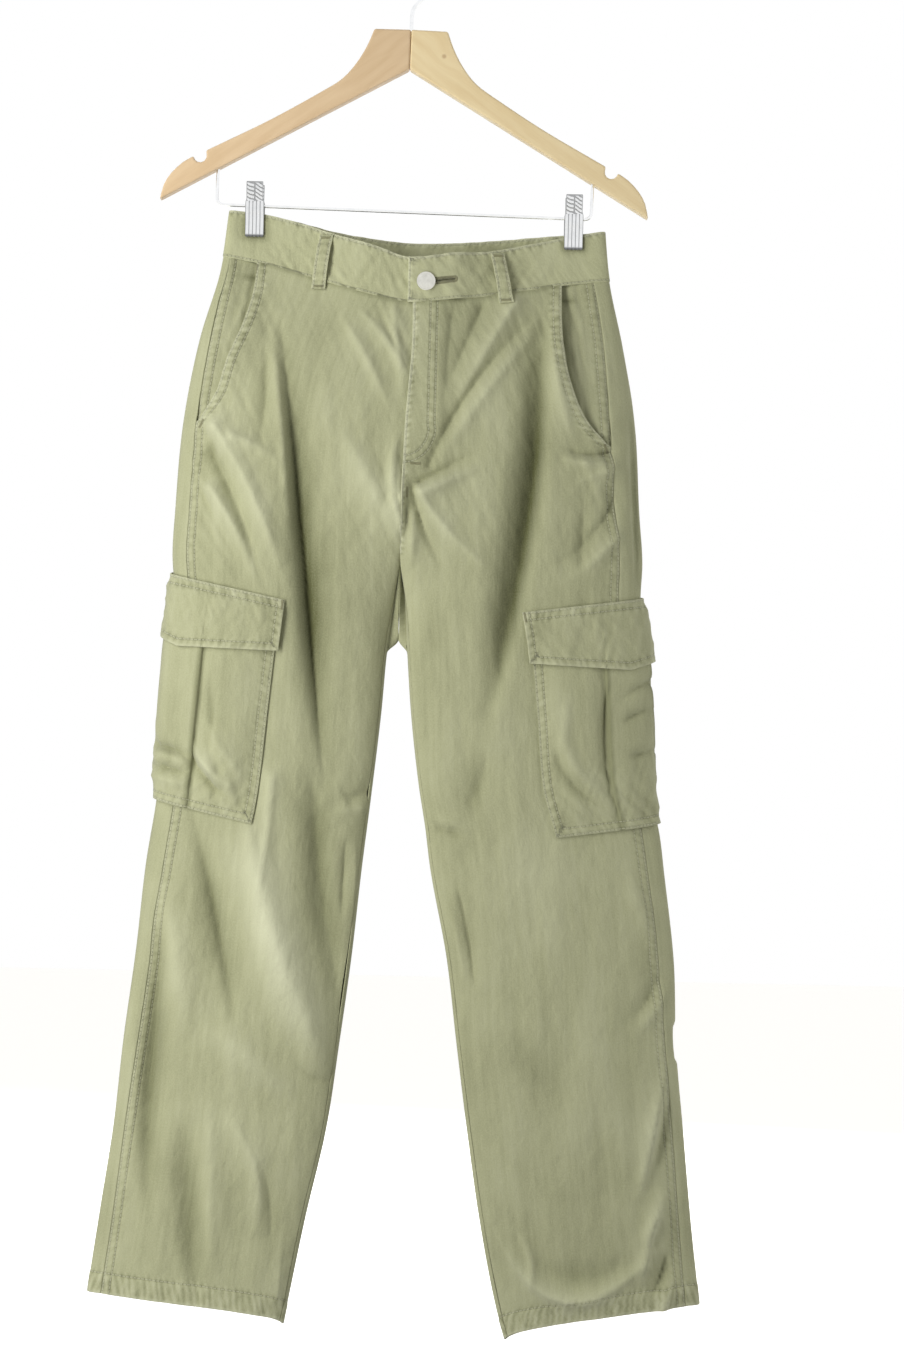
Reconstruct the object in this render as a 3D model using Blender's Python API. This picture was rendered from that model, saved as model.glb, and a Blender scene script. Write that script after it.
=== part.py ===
"""Cargo trousers hung by two clips from a wooden hanger, at real size.

+X is the wearer's left, -Y the front of the trousers, +Z up. The origin is the inside top of the
hanger's hook, where a rail carries it. Sizes and tables are in millimetres."""
import math
from collections import namedtuple

import bmesh
import bpy
from mathutils import Vector

MM = 0.001

# Cloth and seams
CLOTH = 1.2              # wall of one layer of twill
HEM_CLOTH = 2.2          # the turned-up hem
BAND_CLOTH = 2.4         # waistband, two layers and its stiffening
LOOP_CLOTH = 1.6
FLAP_CLOTH = 1.6
SEAM_GAP = 0.3           # between pieces that are sewn edge to edge
BAND_GAP = 0.8           # under the waistband, whose wall leans as it goes round the waist
INSEAM_GAP = 1.8         # on the inseam, where both walls lean round the inner edge
CROTCH_GAP = 1.8         # between mid-surfaces where the two sides meet face to face
LAY_GAP = 0.8            # between pieces that lie on each other

# How the hung cloth opens out between the waist and the hip
ROLL = 0.44              # share of a leg's width over which its edge rounds away
BAND_ROLL = 6.0          # the same for the flat waistband, a length
PINCH = 1.6              # half the distance between the layers under a clip
SIDE_SWELL = 1.8         # the band opens this much again outside the clips
WAIST_SWELL = {"front": 17.0, "back": 9.0}
WAIST_Z = -270.0
BAND_SIDE_Z = {"right": -265.0, "left": -275.0}     # the band's middle where it turns at the sides
HIP_Z = -410.0
FORK_ROUND = {"front": (-515.0, -602.0), "back": (-572.0, -634.0)}

# Waist fastening and fly
LAP_X = 1.0              # where the button end of the band stops
LAP = 36.0               # how far the two ends of the band lie over each other
LAP_LIFT = 3.1
FLY_FOOT_Z = -500.0
FLY_UNDER = 8.0          # the right front runs on under the left by this much
FLY_LIFT = 2.9
FLY_WIDTH = 30.0
BUTTON = {"x": 17.0, "z": -307.7, "radius": 8.6, "shank": 1.3, "rim": 1.5, "dome": 1.5}
SLOT = {"start": 13.0, "end": 43.0, "low": 0.375, "high": 0.475}

# Slant pockets
GAPE = 4.0               # how far the slant edge stands open
GAPE_WIDTH = 26.0
FACING_DROP = 2.1        # the facing lies this far under the front
FACING_UNDER = 24.0

# Cargo pockets and flaps, sized on the cloth
POCKET = {"height": 189.0, "half_top": 89.0, "half_low": 86.0, "stitch": 11.0, "puff": 5.6,
          "strip_half": 23.0, "strip_lift": 2.0, "strip_puff": 0.45}
STRIP_TURN = 1.0         # half the width over which the raised strip drops to the pocket
FLAP = {"half": 92.0, "end": 46.0, "point": 16.0, "above": 15.0, "stitch": 12.0, "clear": 1.5}
ROUND_GAP = 1.5          # under sewn edges where they go round the leg's outer edge
FLAT_GAP = 0.8           # and where they lie on its flat

# Hanger
HANGER_TILT = math.radians(1.1)
WOOD = 13.0
WIRE_HOOK = 3.6
WIRE_BAR = 3.0
HOOK_RADIUS = 24.0
BAR_HALF = 171.0
BAR_Z = -241.5
BAR_CORNER = 6.0
APEX_Z = -112.0
NOTCH = {"x": 187.5, "z": -198.5, "radius": 6.0}
CLIPS = {"right": -140.5, "left": 150.5}
CLIP_FLAT = 12.0         # the band is flat this far each side of a clip

# x out: outer edge. inner: closed fly, and from the fork down the leg's inner edge. seam: the side
# seam's distance from the outer edge, in front. front, back: how far the sheets stand apart.
Section = namedtuple("Section", "z out inner seam front back")
RIGHT_SECTIONS = (
    Section(-240, -162.5, 5.0, 2.0, 20, 15),
    Section(-300, -170.5, 5.0, 4.0, 22, 18),
    Section(-360, -187.5, 6.0, 10.0, 25, 23),
    Section(-440, -201.5, 1.0, 13.0, 28, 28),
    Section(-520, -207.0, -1.0, 14.0, 28, 28),
    Section(-557, -208.5, -1.0, 14.0, 27, 27),
    Section(-595, -206.0, -5.5, 14.0, 27, 26),
    Section(-640, -208.5, -11.5, 14.0, 26, 26),
    Section(-700, -212.0, -16.0, 15.0, 25, 26),
    Section(-780, -218.0, -24.0, 17.0, 23, 24),
    Section(-840, -226.5, -30.5, 17.0, 22, 22),
    Section(-920, -234.0, -38.0, 14.0, 20, 20),
    Section(-1000, -243.5, -47.5, 13.0, 19, 18),
    Section(-1080, -251.0, -58.0, 11.0, 18, 16),
    Section(-1160, -262.0, -75.0, 13.0, 17, 15),
    Section(-1240, -272.5, -90.0, 13.0, 16, 14),
    Section(-1270, -275.5, -95.5, 13.0, 16, 14),
)
LEFT_SECTIONS = (
    Section(-240, 177.0, 5.0, 4.0, 20, 15),
    Section(-300, 183.5, 5.0, 12.0, 22, 18),
    Section(-360, 197.0, 6.0, 17.0, 25, 23),
    Section(-440, 211.5, 1.0, 24.0, 28, 28),
    Section(-520, 218.0, -1.0, 23.0, 28, 28),
    Section(-557, 220.0, -1.0, 22.0, 27, 27),
    Section(-595, 218.5, 4.2, 20.0, 27, 26),
    Section(-640, 223.0, 7.5, 18.0, 26, 26),
    Section(-700, 226.5, 12.5, 17.0, 25, 26),
    Section(-765, 230.5, 21.0, 16.0, 23, 24),
    Section(-802, 240.0, 27.5, 16.0, 22.5, 23),
    Section(-840, 245.5, 33.0, 15.0, 22, 22),
    Section(-920, 256.0, 49.5, 14.0, 20, 20),
    Section(-1000, 260.0, 60.5, 10.0, 19, 18),
    Section(-1080, 268.5, 72.0, 10.0, 18, 16),
    Section(-1160, 277.0, 85.0, 11.0, 17, 15),
    Section(-1240, 287.0, 102.0, 13.0, 16, 14),
    Section(-1270, 290.0, 111.0, 13.0, 16, 14),
)

# The waistband's edges along X
BandLine = namedtuple("BandLine", "x front_top front_low back_top back_low")
BAND_LINES = (
    BandLine(-172, -243.0, -285.0, -243.0, -285.0),
    BandLine(-133, -246.5, -291.5, -246.5, -290.0),
    BandLine(-99, -254.0, -301.0, -253.0, -296.0),
    BandLine(-68, -264.0, -310.0, -260.0, -303.0),
    BandLine(-29, -275.0, -320.5, -265.5, -308.5),
    BandLine(1, -285.0, -326.5, -268.0, -311.0),
    BandLine(40, -280.5, -323.0, -267.5, -310.5),
    BandLine(75, -277.0, -318.0, -265.5, -308.5),
    BandLine(115, -268.0, -311.0, -262.0, -305.0),
    BandLine(158, -259.0, -303.5, -258.0, -302.0),
    BandLine(184, -255.0, -301.0, -255.0, -301.0),
)

# Slant pocket edges: x at each height, from the band to the side seam
Slant = namedtuple("Slant", "z x")
RIGHT_SLANT = (Slant(-285, -137), Slant(-320, -140), Slant(-350, -148), Slant(-380, -160),
               Slant(-412, -170), Slant(-438, -186))
LEFT_SLANT = (Slant(-300, 141), Slant(-341, 141), Slant(-367, 143), Slant(-396, 149),
              Slant(-430, 165), Slant(-453, 186))

# Heights of the mesh rows at the side seam, and at the inner edges of the front and the back
Row = namedtuple("Row", "side front back")
UPPER_ROWS = (Row(-325, -352, -335), Row(-353, -380, -360), Row(-382, -408, -388),
              Row(-410, -436, -418))
LOWER_ROWS = (Row(-480, -503, -495), Row(-528, -530, -560), Row(-570, -557, -632),
              Row(-608, -590, -645), Row(-650, -632, -668), Row(-700, -690, -705),
              Row(-750, -748, -752), Row(-800, -800, -800), Row(-860, -860, -860),
              Row(-930, -930, -930), Row(-1000, -1000, -1000), Row(-1075, -1078, -1078),
              Row(-1150, -1156, -1156))
RIGHT_ROWS = UPPER_ROWS + (Row(-438, -466, -450),) + LOWER_ROWS + (
    Row(-1215, -1237, -1241), Row(-1232, -1254, -1258))
LEFT_ROWS = UPPER_ROWS + (Row(-453, -470, -455),) + LOWER_ROWS + (
    Row(-1215, -1247, -1251), Row(-1232, -1264, -1268))
FORK_ROW = 8             # the row, counted from the band, whose inner ends are the crotch
HEM_ROWS = 2
FRONT_STRIPS = 13
BACK_STRIPS = 12
WRAP = (1.0, 0.55, 0.2, 0.03)    # columns from the side seam to the outer edge, as shares

# The largest folds: a ridge has a positive rise, a trough a negative one
Fold = namedtuple("Fold", "face x_top z_top x_low z_low width rise")
FOLDS = (
    Fold("front", -118, -300, -88, -655, 12, -9.0),
    Fold("front", -88, -620, -50, -900, 16, -7.0),
    Fold("front", -66, -340, -8, -500, 13, 4.0),
    Fold("front", -140, -440, -128, -600, 12, 4.0),
    Fold("front", 112, -335, 108, -560, 12, -5.0),
    Fold("front", 98, -540, 103, -690, 10, -4.0),
    Fold("front", 92, -315, 24, -470, 11, 4.5),
    Fold("front", -148, -790, -55, -1050, 14, 5.0),
    Fold("front", -186, -800, -160, -960, 12, -4.0),
    Fold("front", -202, -1040, -197, -1232, 11, -4.5),
    Fold("front", -160, -1080, -152, -1235, 16, 4.0),
    Fold("front", 40, -800, 84, -1000, 9, -4.0),
    Fold("front", 248, -1010, 226, -1160, 9, 4.5),
    Fold("front", 100, -1160, 150, -1248, 12, 4.5),
    Fold("back", -105, -330, -95, -640, 16, -7.0),
    Fold("back", 100, -330, 112, -640, 16, -6.0),
    Fold("back", -40, -470, -120, -700, 15, 4.0),
    Fold("back", 38, -470, 130, -720, 15, 4.0),
    Fold("back", -150, -820, -100, -1100, 16, -5.0),
    Fold("back", 150, -830, 170, -1120, 16, -5.0),
    Fold("back", -215, -1000, -190, -1240, 14, 4.0),
    Fold("back", 200, -1040, 240, -1240, 14, 4.0),
)

# pocket_z: the cargo pocket's mouth at the side seam. tilt: how far its mouth drops towards the
# front. lean: how far its foot moves towards the back. Both are shares of the length.
Leg = namedtuple("Leg", "name sign sections slant rows pocket_z tilt lean")
RIGHT = Leg("right", -1, RIGHT_SECTIONS, RIGHT_SLANT, RIGHT_ROWS, -595.0, 0.20, 0.05)
LEFT = Leg("left", 1, LEFT_SECTIONS, LEFT_SLANT, LEFT_ROWS, -608.0, 0.13, 0.02)
LEGS = (RIGHT, LEFT)


# ---------------------------------------------------------------- small maths
def ramp(value, start, end):
    """Smooth step from 0 at start to 1 at end."""
    share = min(max((value - start) / (end - start), 0.0), 1.0)
    return share * share * (3.0 - 2.0 * share)


def mix(first, second, share):
    return first + (second - first) * share


def roll(share):
    """Quarter circle: 0 at an edge, 1 once the cloth has turned into the flat."""
    return math.sqrt(1.0 - (1.0 - min(max(share, 0.0), 1.0)) ** 2)


def read(rows, key, name, at):
    """A column of a table at any height or width, on a smooth curve through its rows."""
    keys = [getattr(row, key) for row in rows]
    values = [getattr(row, name) for row in rows]
    if keys[0] > keys[-1]:
        keys.reverse()
        values.reverse()
    if at <= keys[0]:
        return values[0]
    if at >= keys[-1]:
        return values[-1]
    slopes = [(b - a) / (q - p) for a, b, p, q in zip(values, values[1:], keys, keys[1:])]
    turns = [slopes[0]] + [0.5 * (a + b) for a, b in zip(slopes, slopes[1:])] + [slopes[-1]]
    span = next(i for i in range(len(slopes)) if at <= keys[i + 1])
    width = keys[span + 1] - keys[span]
    t = (at - keys[span]) / width
    return ((1 + 2 * t) * (1 - t) ** 2 * values[span] + t * (1 - t) ** 2 * width * turns[span]
            + t * t * (3 - 2 * t) * values[span + 1] + t * t * (t - 1) * width * turns[span + 1])


def smooth_route(points, steps):
    """Points on a smooth curve through the given ones."""
    route = []
    last = len(points) - 1
    for i in range(last):
        before, start = points[max(i - 1, 0)], points[i]
        end, after = points[i + 1], points[min(i + 2, last)]
        for step in range(steps):
            t = step / steps
            route.append(0.5 * (2 * start + (end - before) * t
                                + (2 * before - 5 * start + 4 * end - after) * t * t
                                + (3 * start - before - 3 * end + after) * t ** 3))
    return route + [points[last]]


# ---------------------------------------------------------------- the hung form
def section(leg, name, z):
    return read(leg.sections, "z", name, z)


def band_edge(name, x):
    return read(BAND_LINES, "x", name, x)


def fork_share(face, z):
    """1 where both legs are one body, 0 where each leg closes on itself."""
    start, end = FORK_ROUND[face]
    return 1.0 - ramp(z, start, end)


def waist_depth(face, x):
    """Half the opening of the waist: pinched under the clips, swelling between them."""
    start = CLIPS["right"] + CLIP_FLAT
    end = CLIPS["left"] - CLIP_FLAT
    if start < x < end:
        return PINCH + WAIST_SWELL[face] * math.sin(math.pi * (x - start) / (end - start)) ** 2
    beyond = max(CLIPS["right"] - CLIP_FLAT - x, x - CLIPS["left"] - CLIP_FLAT, 0.0)
    return PINCH + SIDE_SWELL * min(beyond / 10.0, 1.0)


def fold_rise(face, x, z):
    """Sum of the folds at a place, outwards."""
    rise = 0.0
    for fold in FOLDS:
        if fold.face == face and fold.z_low < z < fold.z_top:
            down = (fold.z_top - z) / (fold.z_top - fold.z_low)
            across = (x - mix(fold.x_top, fold.x_low, down)) / fold.width
            rise += fold.rise * math.exp(-across * across) * math.sin(math.pi * down) ** 0.7
    return rise


def leg_width(leg, z):
    return leg.sign * (section(leg, "out", z) - section(leg, "inner", z))


def sheet_depth(leg, face, off, z):
    """How far a sheet stands from the mid-plane, at a distance in from the outer edge."""
    width = leg_width(leg, z)
    x = section(leg, "out", z) - leg.sign * off
    hip = ramp(z, WAIST_Z, HIP_Z)
    reach = ROLL * width
    fork = fork_share(face, z)
    inner = fork + (1.0 - fork) * roll((width - off) / reach)
    hung = section(leg, face, z) * roll(off / reach) * inner
    clipped = waist_depth(face, x) * roll(off / BAND_ROLL)
    folds = fold_rise(face, x, z) * min(off / 25.0, 1.0) * inner
    return mix(clipped, hung, hip) + folds


def edge_radius(leg, face, z):
    """Radius of the cloth's turn at the outer edge."""
    hip = ramp(z, WAIST_Z, HIP_Z)
    clipped = (PINCH + SIDE_SWELL) / math.sqrt(BAND_ROLL)
    hung = section(leg, face, z) / math.sqrt(ROLL * leg_width(leg, z))
    return mix(clipped, hung, hip) ** 2


def girth(leg, face, off, z):
    """Distance on the cloth from the outer edge, for a distance measured straight in."""
    radius = edge_radius(leg, face, z)
    return 0.5 * (off + math.sqrt(off * off + 8.0 * radius * off))


def skin(leg, along, z):
    """The cloth's mid-surface: along is the girth from the outer edge, negative in front."""
    face = "front" if along < 0.0 else "back"
    side = -1.0 if along < 0.0 else 1.0
    radius = edge_radius(leg, face, z)
    off = along * along / (abs(along) + 2.0 * radius)
    x = section(leg, "out", z) - leg.sign * off
    return Vector((x, side * sheet_depth(leg, face, off, z), z))


def lifted(leg, along, z, lift):
    """A point moved out from the cloth by lift."""
    across = skin(leg, along + 1.5, z) - skin(leg, along - 1.5, z)
    down = skin(leg, along, z - 4.0) - skin(leg, along, z + 4.0)
    out = across.cross(down).normalized() * -leg.sign
    return skin(leg, along, z) + out * lift


def at_x(face, x, z, lift=0.0):
    """A point above the fork by its place from the front, moved out by lift."""
    leg = LEFT if x > 0.0 else RIGHT
    off = max(leg.sign * (section(leg, "out", z) - x), 0.0)
    side = -1.0 if face == "front" else 1.0
    return lifted(leg, side * girth(leg, face, off, z), z, lift)


def inner_edge_point(leg, face, along, z):
    """A point by its girth from the leg's inner edge."""
    radius = section(leg, face, z) ** 2 / (ROLL * leg_width(leg, z))
    width = leg_width(leg, z)
    off = width - along * along / (along + 2.0 * radius)
    side = -1.0 if face == "front" else 1.0
    x = section(leg, "out", z) - leg.sign * off
    return Vector((x, side * sheet_depth(leg, face, off, z), z))


# ---------------------------------------------------------------- making solids
def colour(red, green, blue):
    """Linear colour from the usual 0 to 255 values."""
    return tuple(((c / 255.0 + 0.055) / 1.055) ** 2.4 for c in (red, green, blue)) + (1.0,)


FINISHES = {
    "twill": (colour(186, 187, 151), 0.85, 0.0),
    "twill_inside": (colour(158, 160, 126), 0.9, 0.0),
    "zip": (colour(150, 152, 118), 0.6, 0.0),
    "wood": (colour(224, 200, 160), 0.5, 0.0),
    "steel": (colour(205, 205, 205), 0.25, 1.0),
    "button_metal": (colour(215, 214, 206), 0.35, 1.0),
}


def finish(name, node):
    """The Principled material of one sub-part."""
    base, rough, metal = FINISHES[name]
    material = bpy.data.materials.new(f"{node}_{name}")
    material.use_nodes = True
    shader = material.node_tree.nodes["Principled BSDF"]
    shader.inputs["Base Color"].default_value = base
    shader.inputs["Roughness"].default_value = rough
    shader.inputs["Metallic"].default_value = metal
    return material


def add_object(node, mesh, finish_name, smooth=True):
    mesh.materials.append(finish(finish_name, node))
    if smooth:
        mesh.shade_smooth()
        mesh.set_sharp_from_angle(angle=math.radians(40))
    thing = bpy.data.objects.new(node, mesh)
    bpy.context.collection.objects.link(thing)
    thing.parent = ROOT
    return thing


def closed_mesh(node, points, faces):
    mesh = bpy.data.meshes.new(node)
    mesh.from_pydata([point * MM for point in points], [], faces)
    mesh.validate()
    return mesh


def wall(node, grid, thickness, finish_name, flip=False, holes=()):
    """A cloth wall on a grid of mid-surface points, closed all round its edges.

    None in the grid and the cells in holes are left open. thickness is a size or a size per row."""
    index = {}
    middle = []
    depth = []
    for r, line in enumerate(grid):
        for c, point in enumerate(line):
            if point is not None:
                index[r, c] = len(middle)
                middle.append(point)
                depth.append(thickness[r] if isinstance(thickness, (list, tuple)) else thickness)
    quads = []
    for r in range(len(grid) - 1):
        for c in range(len(grid[r]) - 1):
            corners = [(r, c), (r + 1, c), (r + 1, c + 1), (r, c + 1)]
            if (r, c) not in holes and all(corner in index for corner in corners):
                quad = [index[corner] for corner in corners]
                quads.append(quad[::-1] if flip else quad)
    normals = [Vector() for _ in middle]
    for quad in quads:
        a, b, c, d = (middle[i] for i in quad)
        across = (c - a).cross(d - b)
        for i in quad:
            normals[i] += across
    count = len(middle)
    outer = [p + n.normalized() * 0.5 * d for p, n, d in zip(middle, normals, depth)]
    inner = [p - n.normalized() * 0.5 * d for p, n, d in zip(middle, normals, depth)]
    edges = {(quad[i], quad[(i + 1) % 4]) for quad in quads for i in range(4)}
    rim = [(b, a, a + count, b + count) for a, b in sorted(edges) if (b, a) not in edges]
    halves = []
    for a, b, c, d in quads:
        if (middle[c] - middle[a]).length > (middle[d] - middle[b]).length:
            a, b, c, d = b, c, d, a
        halves += [(a, b, c), (a, c, d)]
    # both sides are split along the same diagonals, so the wall keeps its thickness in a warped cell
    faces = halves + [[i + count for i in reversed(half)] for half in halves] + rim
    return add_object(node, closed_mesh(node, outer + inner, faces), finish_name)


def wire(node, points, diameter, finish_name):
    """A round wire along points, with closed ends."""
    line = bpy.data.curves.new(node, "CURVE")
    line.dimensions = "3D"
    line.bevel_depth = 0.5 * diameter * MM
    line.bevel_resolution = 3
    line.use_fill_caps = True
    spline = line.splines.new("POLY")
    spline.points.add(len(points) - 1)
    for slot, point in zip(spline.points, points):
        slot.co = (*(point * MM), 1.0)
    line.materials.append(finish(finish_name, node))
    thing = bpy.data.objects.new(node, line)
    bpy.context.collection.objects.link(thing)
    thing.parent = ROOT
    return thing


def turned(node, profile, place, axis, segments, finish_name, closed_ring=False):
    """A solid of revolution: profile rows are radius and height along the axis."""
    turn = Vector((0, 0, 1)).rotation_difference(axis)
    points = []
    for radius, height in profile:
        for k in range(segments):
            angle = 2.0 * math.pi * k / segments
            points.append(place + turn @ Vector((radius * math.cos(angle),
                                                 radius * math.sin(angle), height)))
    rings = len(profile)
    faces = []
    for r in range(rings if closed_ring else rings - 1):
        low = r * segments
        high = (r + 1) % rings * segments
        for k in range(segments):
            after = (k + 1) % segments
            faces.append((low + k, low + after, high + after, high + k))
    if not closed_ring:
        faces.append(tuple(reversed(range(segments))))
        faces.append(tuple(range((rings - 1) * segments, rings * segments)))
    return add_object(node, closed_mesh(node, points, faces), finish_name)


# ---------------------------------------------------------------- fronts and backs
def outer_start(leg, z):
    """Distance from the outer edge to the front's outer boundary: slant edge, then side seam."""
    if z > leg.slant[-1].z:
        return leg.sign * (section(leg, "out", z) - read(leg.slant, "z", "x", z))
    return section(leg, "seam", z) + 0.5 * SEAM_GAP


def inseam(z):
    """Girth from the leg's inner edge to the inseam, nothing at the crotch point."""
    return 0.5 * INSEAM_GAP + 6.5 * ramp(z, -557.0, -620.0)


def fly_lift(leg, x, z):
    """The left front lies over the right along the fly."""
    if leg.sign < 0 or z < FLY_FOOT_Z - 20.0:
        return 0.0
    beside = 1.0 - ramp(x, FLY_WIDTH, FLY_WIDTH + 22.0)
    return FLY_LIFT * beside * ramp(z, FLY_FOOT_Z - 20.0, FLY_FOOT_Z + 5.0)


def front_inner(leg, z, number):
    """x of a front's inner boundary: fly, then crotch seam, then inseam."""
    inner = section(leg, "inner", z)
    if number > FORK_ROW:
        return inner_edge_point(leg, "front", inseam(z) + 0.5 * INSEAM_GAP, z).x
    if number == FORK_ROW:
        return inner + leg.sign * 0.5 * CROTCH_GAP
    if z < FLY_FOOT_Z - 20.0:
        return inner + leg.sign * 0.25 * CROTCH_GAP
    if z < FLY_FOOT_Z:
        return inner + leg.sign * 0.5 * SEAM_GAP
    return inner + (FLY_UNDER if leg.sign < 0 else 0.0)


def front_point(leg, x, z):
    """A point of a front, with its lift along the fly and along the slant edge."""
    lift = fly_lift(leg, x, z)
    foot = leg.slant[-1].z
    if z > foot:
        run = min(max((leg.slant[0].z - z) / (leg.slant[0].z - foot), 0.0), 1.0)
        edge = abs(x - read(leg.slant, "z", "x", z))
        lift += GAPE * (1.0 - ramp(edge, 0.0, GAPE_WIDTH)) * math.sin(math.pi * run)
    off = leg.sign * (section(leg, "out", z) - x)
    return lifted(leg, -girth(leg, "front", off, z), z, lift)


def front_grid(leg):
    grid = []
    for number in range(len(leg.rows) + 1):
        row = leg.rows[max(number - 1, 0)]
        side = row.side if number else band_edge("front_low", leg.slant[0].x)
        inner = row.front if number else band_edge("front_low", LAP_X)
        start = section(leg, "out", side) - leg.sign * outer_start(leg, side)
        end = front_inner(leg, inner, number)
        closed = 1.0 - fork_share("front", inner)
        line = []
        for c in range(FRONT_STRIPS + 1):
            share = c / FRONT_STRIPS
            x = mix(start, end, mix(share, math.sin(0.5 * math.pi * share), 0.75 * closed))
            z = mix(side, inner, share) if number else band_edge("front_low", x) - BAND_GAP
            line.append(front_point(leg, x, z))
        grid.append(line)
    return grid


def back_grid(leg):
    """The back wraps to the side seam in front, and from the fork to the inseam in front."""
    grid = []
    for number in range(len(leg.rows) + 1):
        row = leg.rows[max(number - 1, 0)]
        side = row.side if number else band_edge("back_low", section(leg, "out", row.side)) - BAND_GAP
        inner = row.back if number else band_edge("back_low", 0.0)
        line = []
        out = section(leg, "out", side)
        seam = section(leg, "seam", side) - 0.5 * SEAM_GAP
        for share in WRAP:
            off = seam * share
            z = side if number else band_edge("front_low", out - leg.sign * off) - BAND_GAP
            line.append(lifted(leg, -girth(leg, "front", off, z), z, 0.0))
        fork = fork_share("back", inner)
        width = leg_width(leg, inner)
        if number <= FORK_ROW:
            width = leg.sign * (section(leg, "out", inner) - centre_seam(leg, number))
        for c in range(BACK_STRIPS + 1):
            share = c / BACK_STRIPS
            ends = 0.5 - 0.5 * math.cos(math.pi * share)
            one = 1.0 - math.cos(0.5 * math.pi * share)
            off = width * mix(mix(one, share, 0.5), mix(ends, share, 0.25), 1.0 - fork)
            z = mix(row.side, row.back, share)
            if number == 0:
                z = band_edge("back_low", out - leg.sign * off) - BAND_GAP
            line.append(lifted(leg, girth(leg, "back", off, z), z, 0.0))
        line += fork_strip(leg, row, number, line[-1])
        grid.append(line)
    return grid


def fork_strip(leg, row, number, fold):
    """The back's last columns, from its inner fold forward and up to the inseam."""
    if number < FORK_ROW:
        return [None, None]
    end = inner_edge_point(leg, "front", inseam(row.front) - 0.5 * INSEAM_GAP, row.front)
    if number == FORK_ROW:
        end = Vector((centre_seam(leg, number), end.y + INSEAM_GAP, end.z - INSEAM_GAP))
        return [fold.lerp(end, 0.5), end]
    middle_z = mix(row.back, row.front, 0.5)
    return [inner_edge_point(leg, "front", 0.45 * inseam(row.front), middle_z), end]


def centre_seam(leg, number):
    """x of the centre back seam, whose sides turn face to face at the crotch."""
    return -1.0 + leg.sign * 0.5 * (CROTCH_GAP if number == FORK_ROW else SEAM_GAP)


def make_panels():
    for leg in LEGS:
        rows = len(leg.rows) + 1
        cloth = [CLOTH] * (rows - HEM_ROWS) + [HEM_CLOTH] * HEM_ROWS
        wall(f"front_{leg.name}", front_grid(leg), cloth, "twill", flip=leg.sign > 0)
        wall(f"back_{leg.name}", back_grid(leg), cloth, "twill", flip=leg.sign > 0)


# ---------------------------------------------------------------- waistband, loops, button
BandColumn = namedtuple("BandColumn", "face x lift")


def band_columns():
    """Columns round the band, from the end under the button to the end that carries the slot."""
    edge = (22.0, 9.0, 3.0, 0.8)
    right = section(RIGHT, "out", BAND_SIDE_Z["right"])
    left = section(LEFT, "out", BAND_SIDE_Z["left"])
    steps = 11
    columns = [BandColumn("front", mix(LAP_X + LAP, right + 34.0, i / steps), 0.0)
               for i in range(steps + 1)]
    columns += [BandColumn("front", right + off, 0.0) for off in edge]
    columns += [BandColumn("back", right + off, 0.0) for off in (0.0,) + edge[::-1]]
    columns += [BandColumn("back", mix(right + 34.0, left - 34.0, i / steps), 0.0)
                for i in range(steps + 1)]
    columns += [BandColumn("back", left - off, 0.0) for off in edge]
    columns += [BandColumn("front", left - off, 0.0) for off in (0.0,) + edge[::-1]]
    lap_marks = (150.0, 128.0, 108.0, 86.0, 68.0, 56.0, SLOT["end"], 34.0, 24.0, SLOT["start"],
                 7.0, LAP_X)
    columns += [BandColumn("front", x, LAP_LIFT * (1.0 - ramp(x, 40.0, 62.0))) for x in lap_marks]
    return columns


def make_band():
    rows = (0.0, SLOT["low"], SLOT["high"], 1.0)
    columns = band_columns()
    grid = []
    for share in rows:
        line = []
        for column in columns:
            low = band_edge(f"{column.face}_low", column.x)
            top = band_edge(f"{column.face}_top", column.x)
            z = mix(low, top, share)
            leg = LEFT if column.x > 0.0 else RIGHT
            out = section(leg, "out", z)
            shift = out - section(leg, "out", BAND_SIDE_Z[leg.name])
            near = 1.0 - ramp(abs(out - column.x), 10.0, 60.0)
            line.append(at_x(column.face, column.x + shift * near, z, column.lift))
        grid.append(line)
    slot = {(1, c) for c in range(len(columns) - 1)
            if column_in_slot(columns[c]) and column_in_slot(columns[c + 1])}
    wall("waistband", grid, BAND_CLOTH, "twill", flip=False, holes=slot)


def column_in_slot(column):
    lapped = column.lift > 0.5 * LAP_LIFT
    return lapped and SLOT["start"] <= column.x <= SLOT["end"]


Loop = namedtuple("Loop", "face x_top drop_top x_low drop_low")
LOOP_WIDTH = 12.6
LOOP_STAND = 6.7
LOOPS = (
    Loop("front", -74.0, 3.5, -80.5, 9.0),
    Loop("front", 81.0, 3.0, 90.0, 10.0),
    Loop("back", 108.0, 3.5, 112.0, 9.0),
    Loop("back", -1.0, 3.5, -1.0, 9.0),
    Loop("back", -104.0, 3.5, -108.0, 9.0),
)


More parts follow.
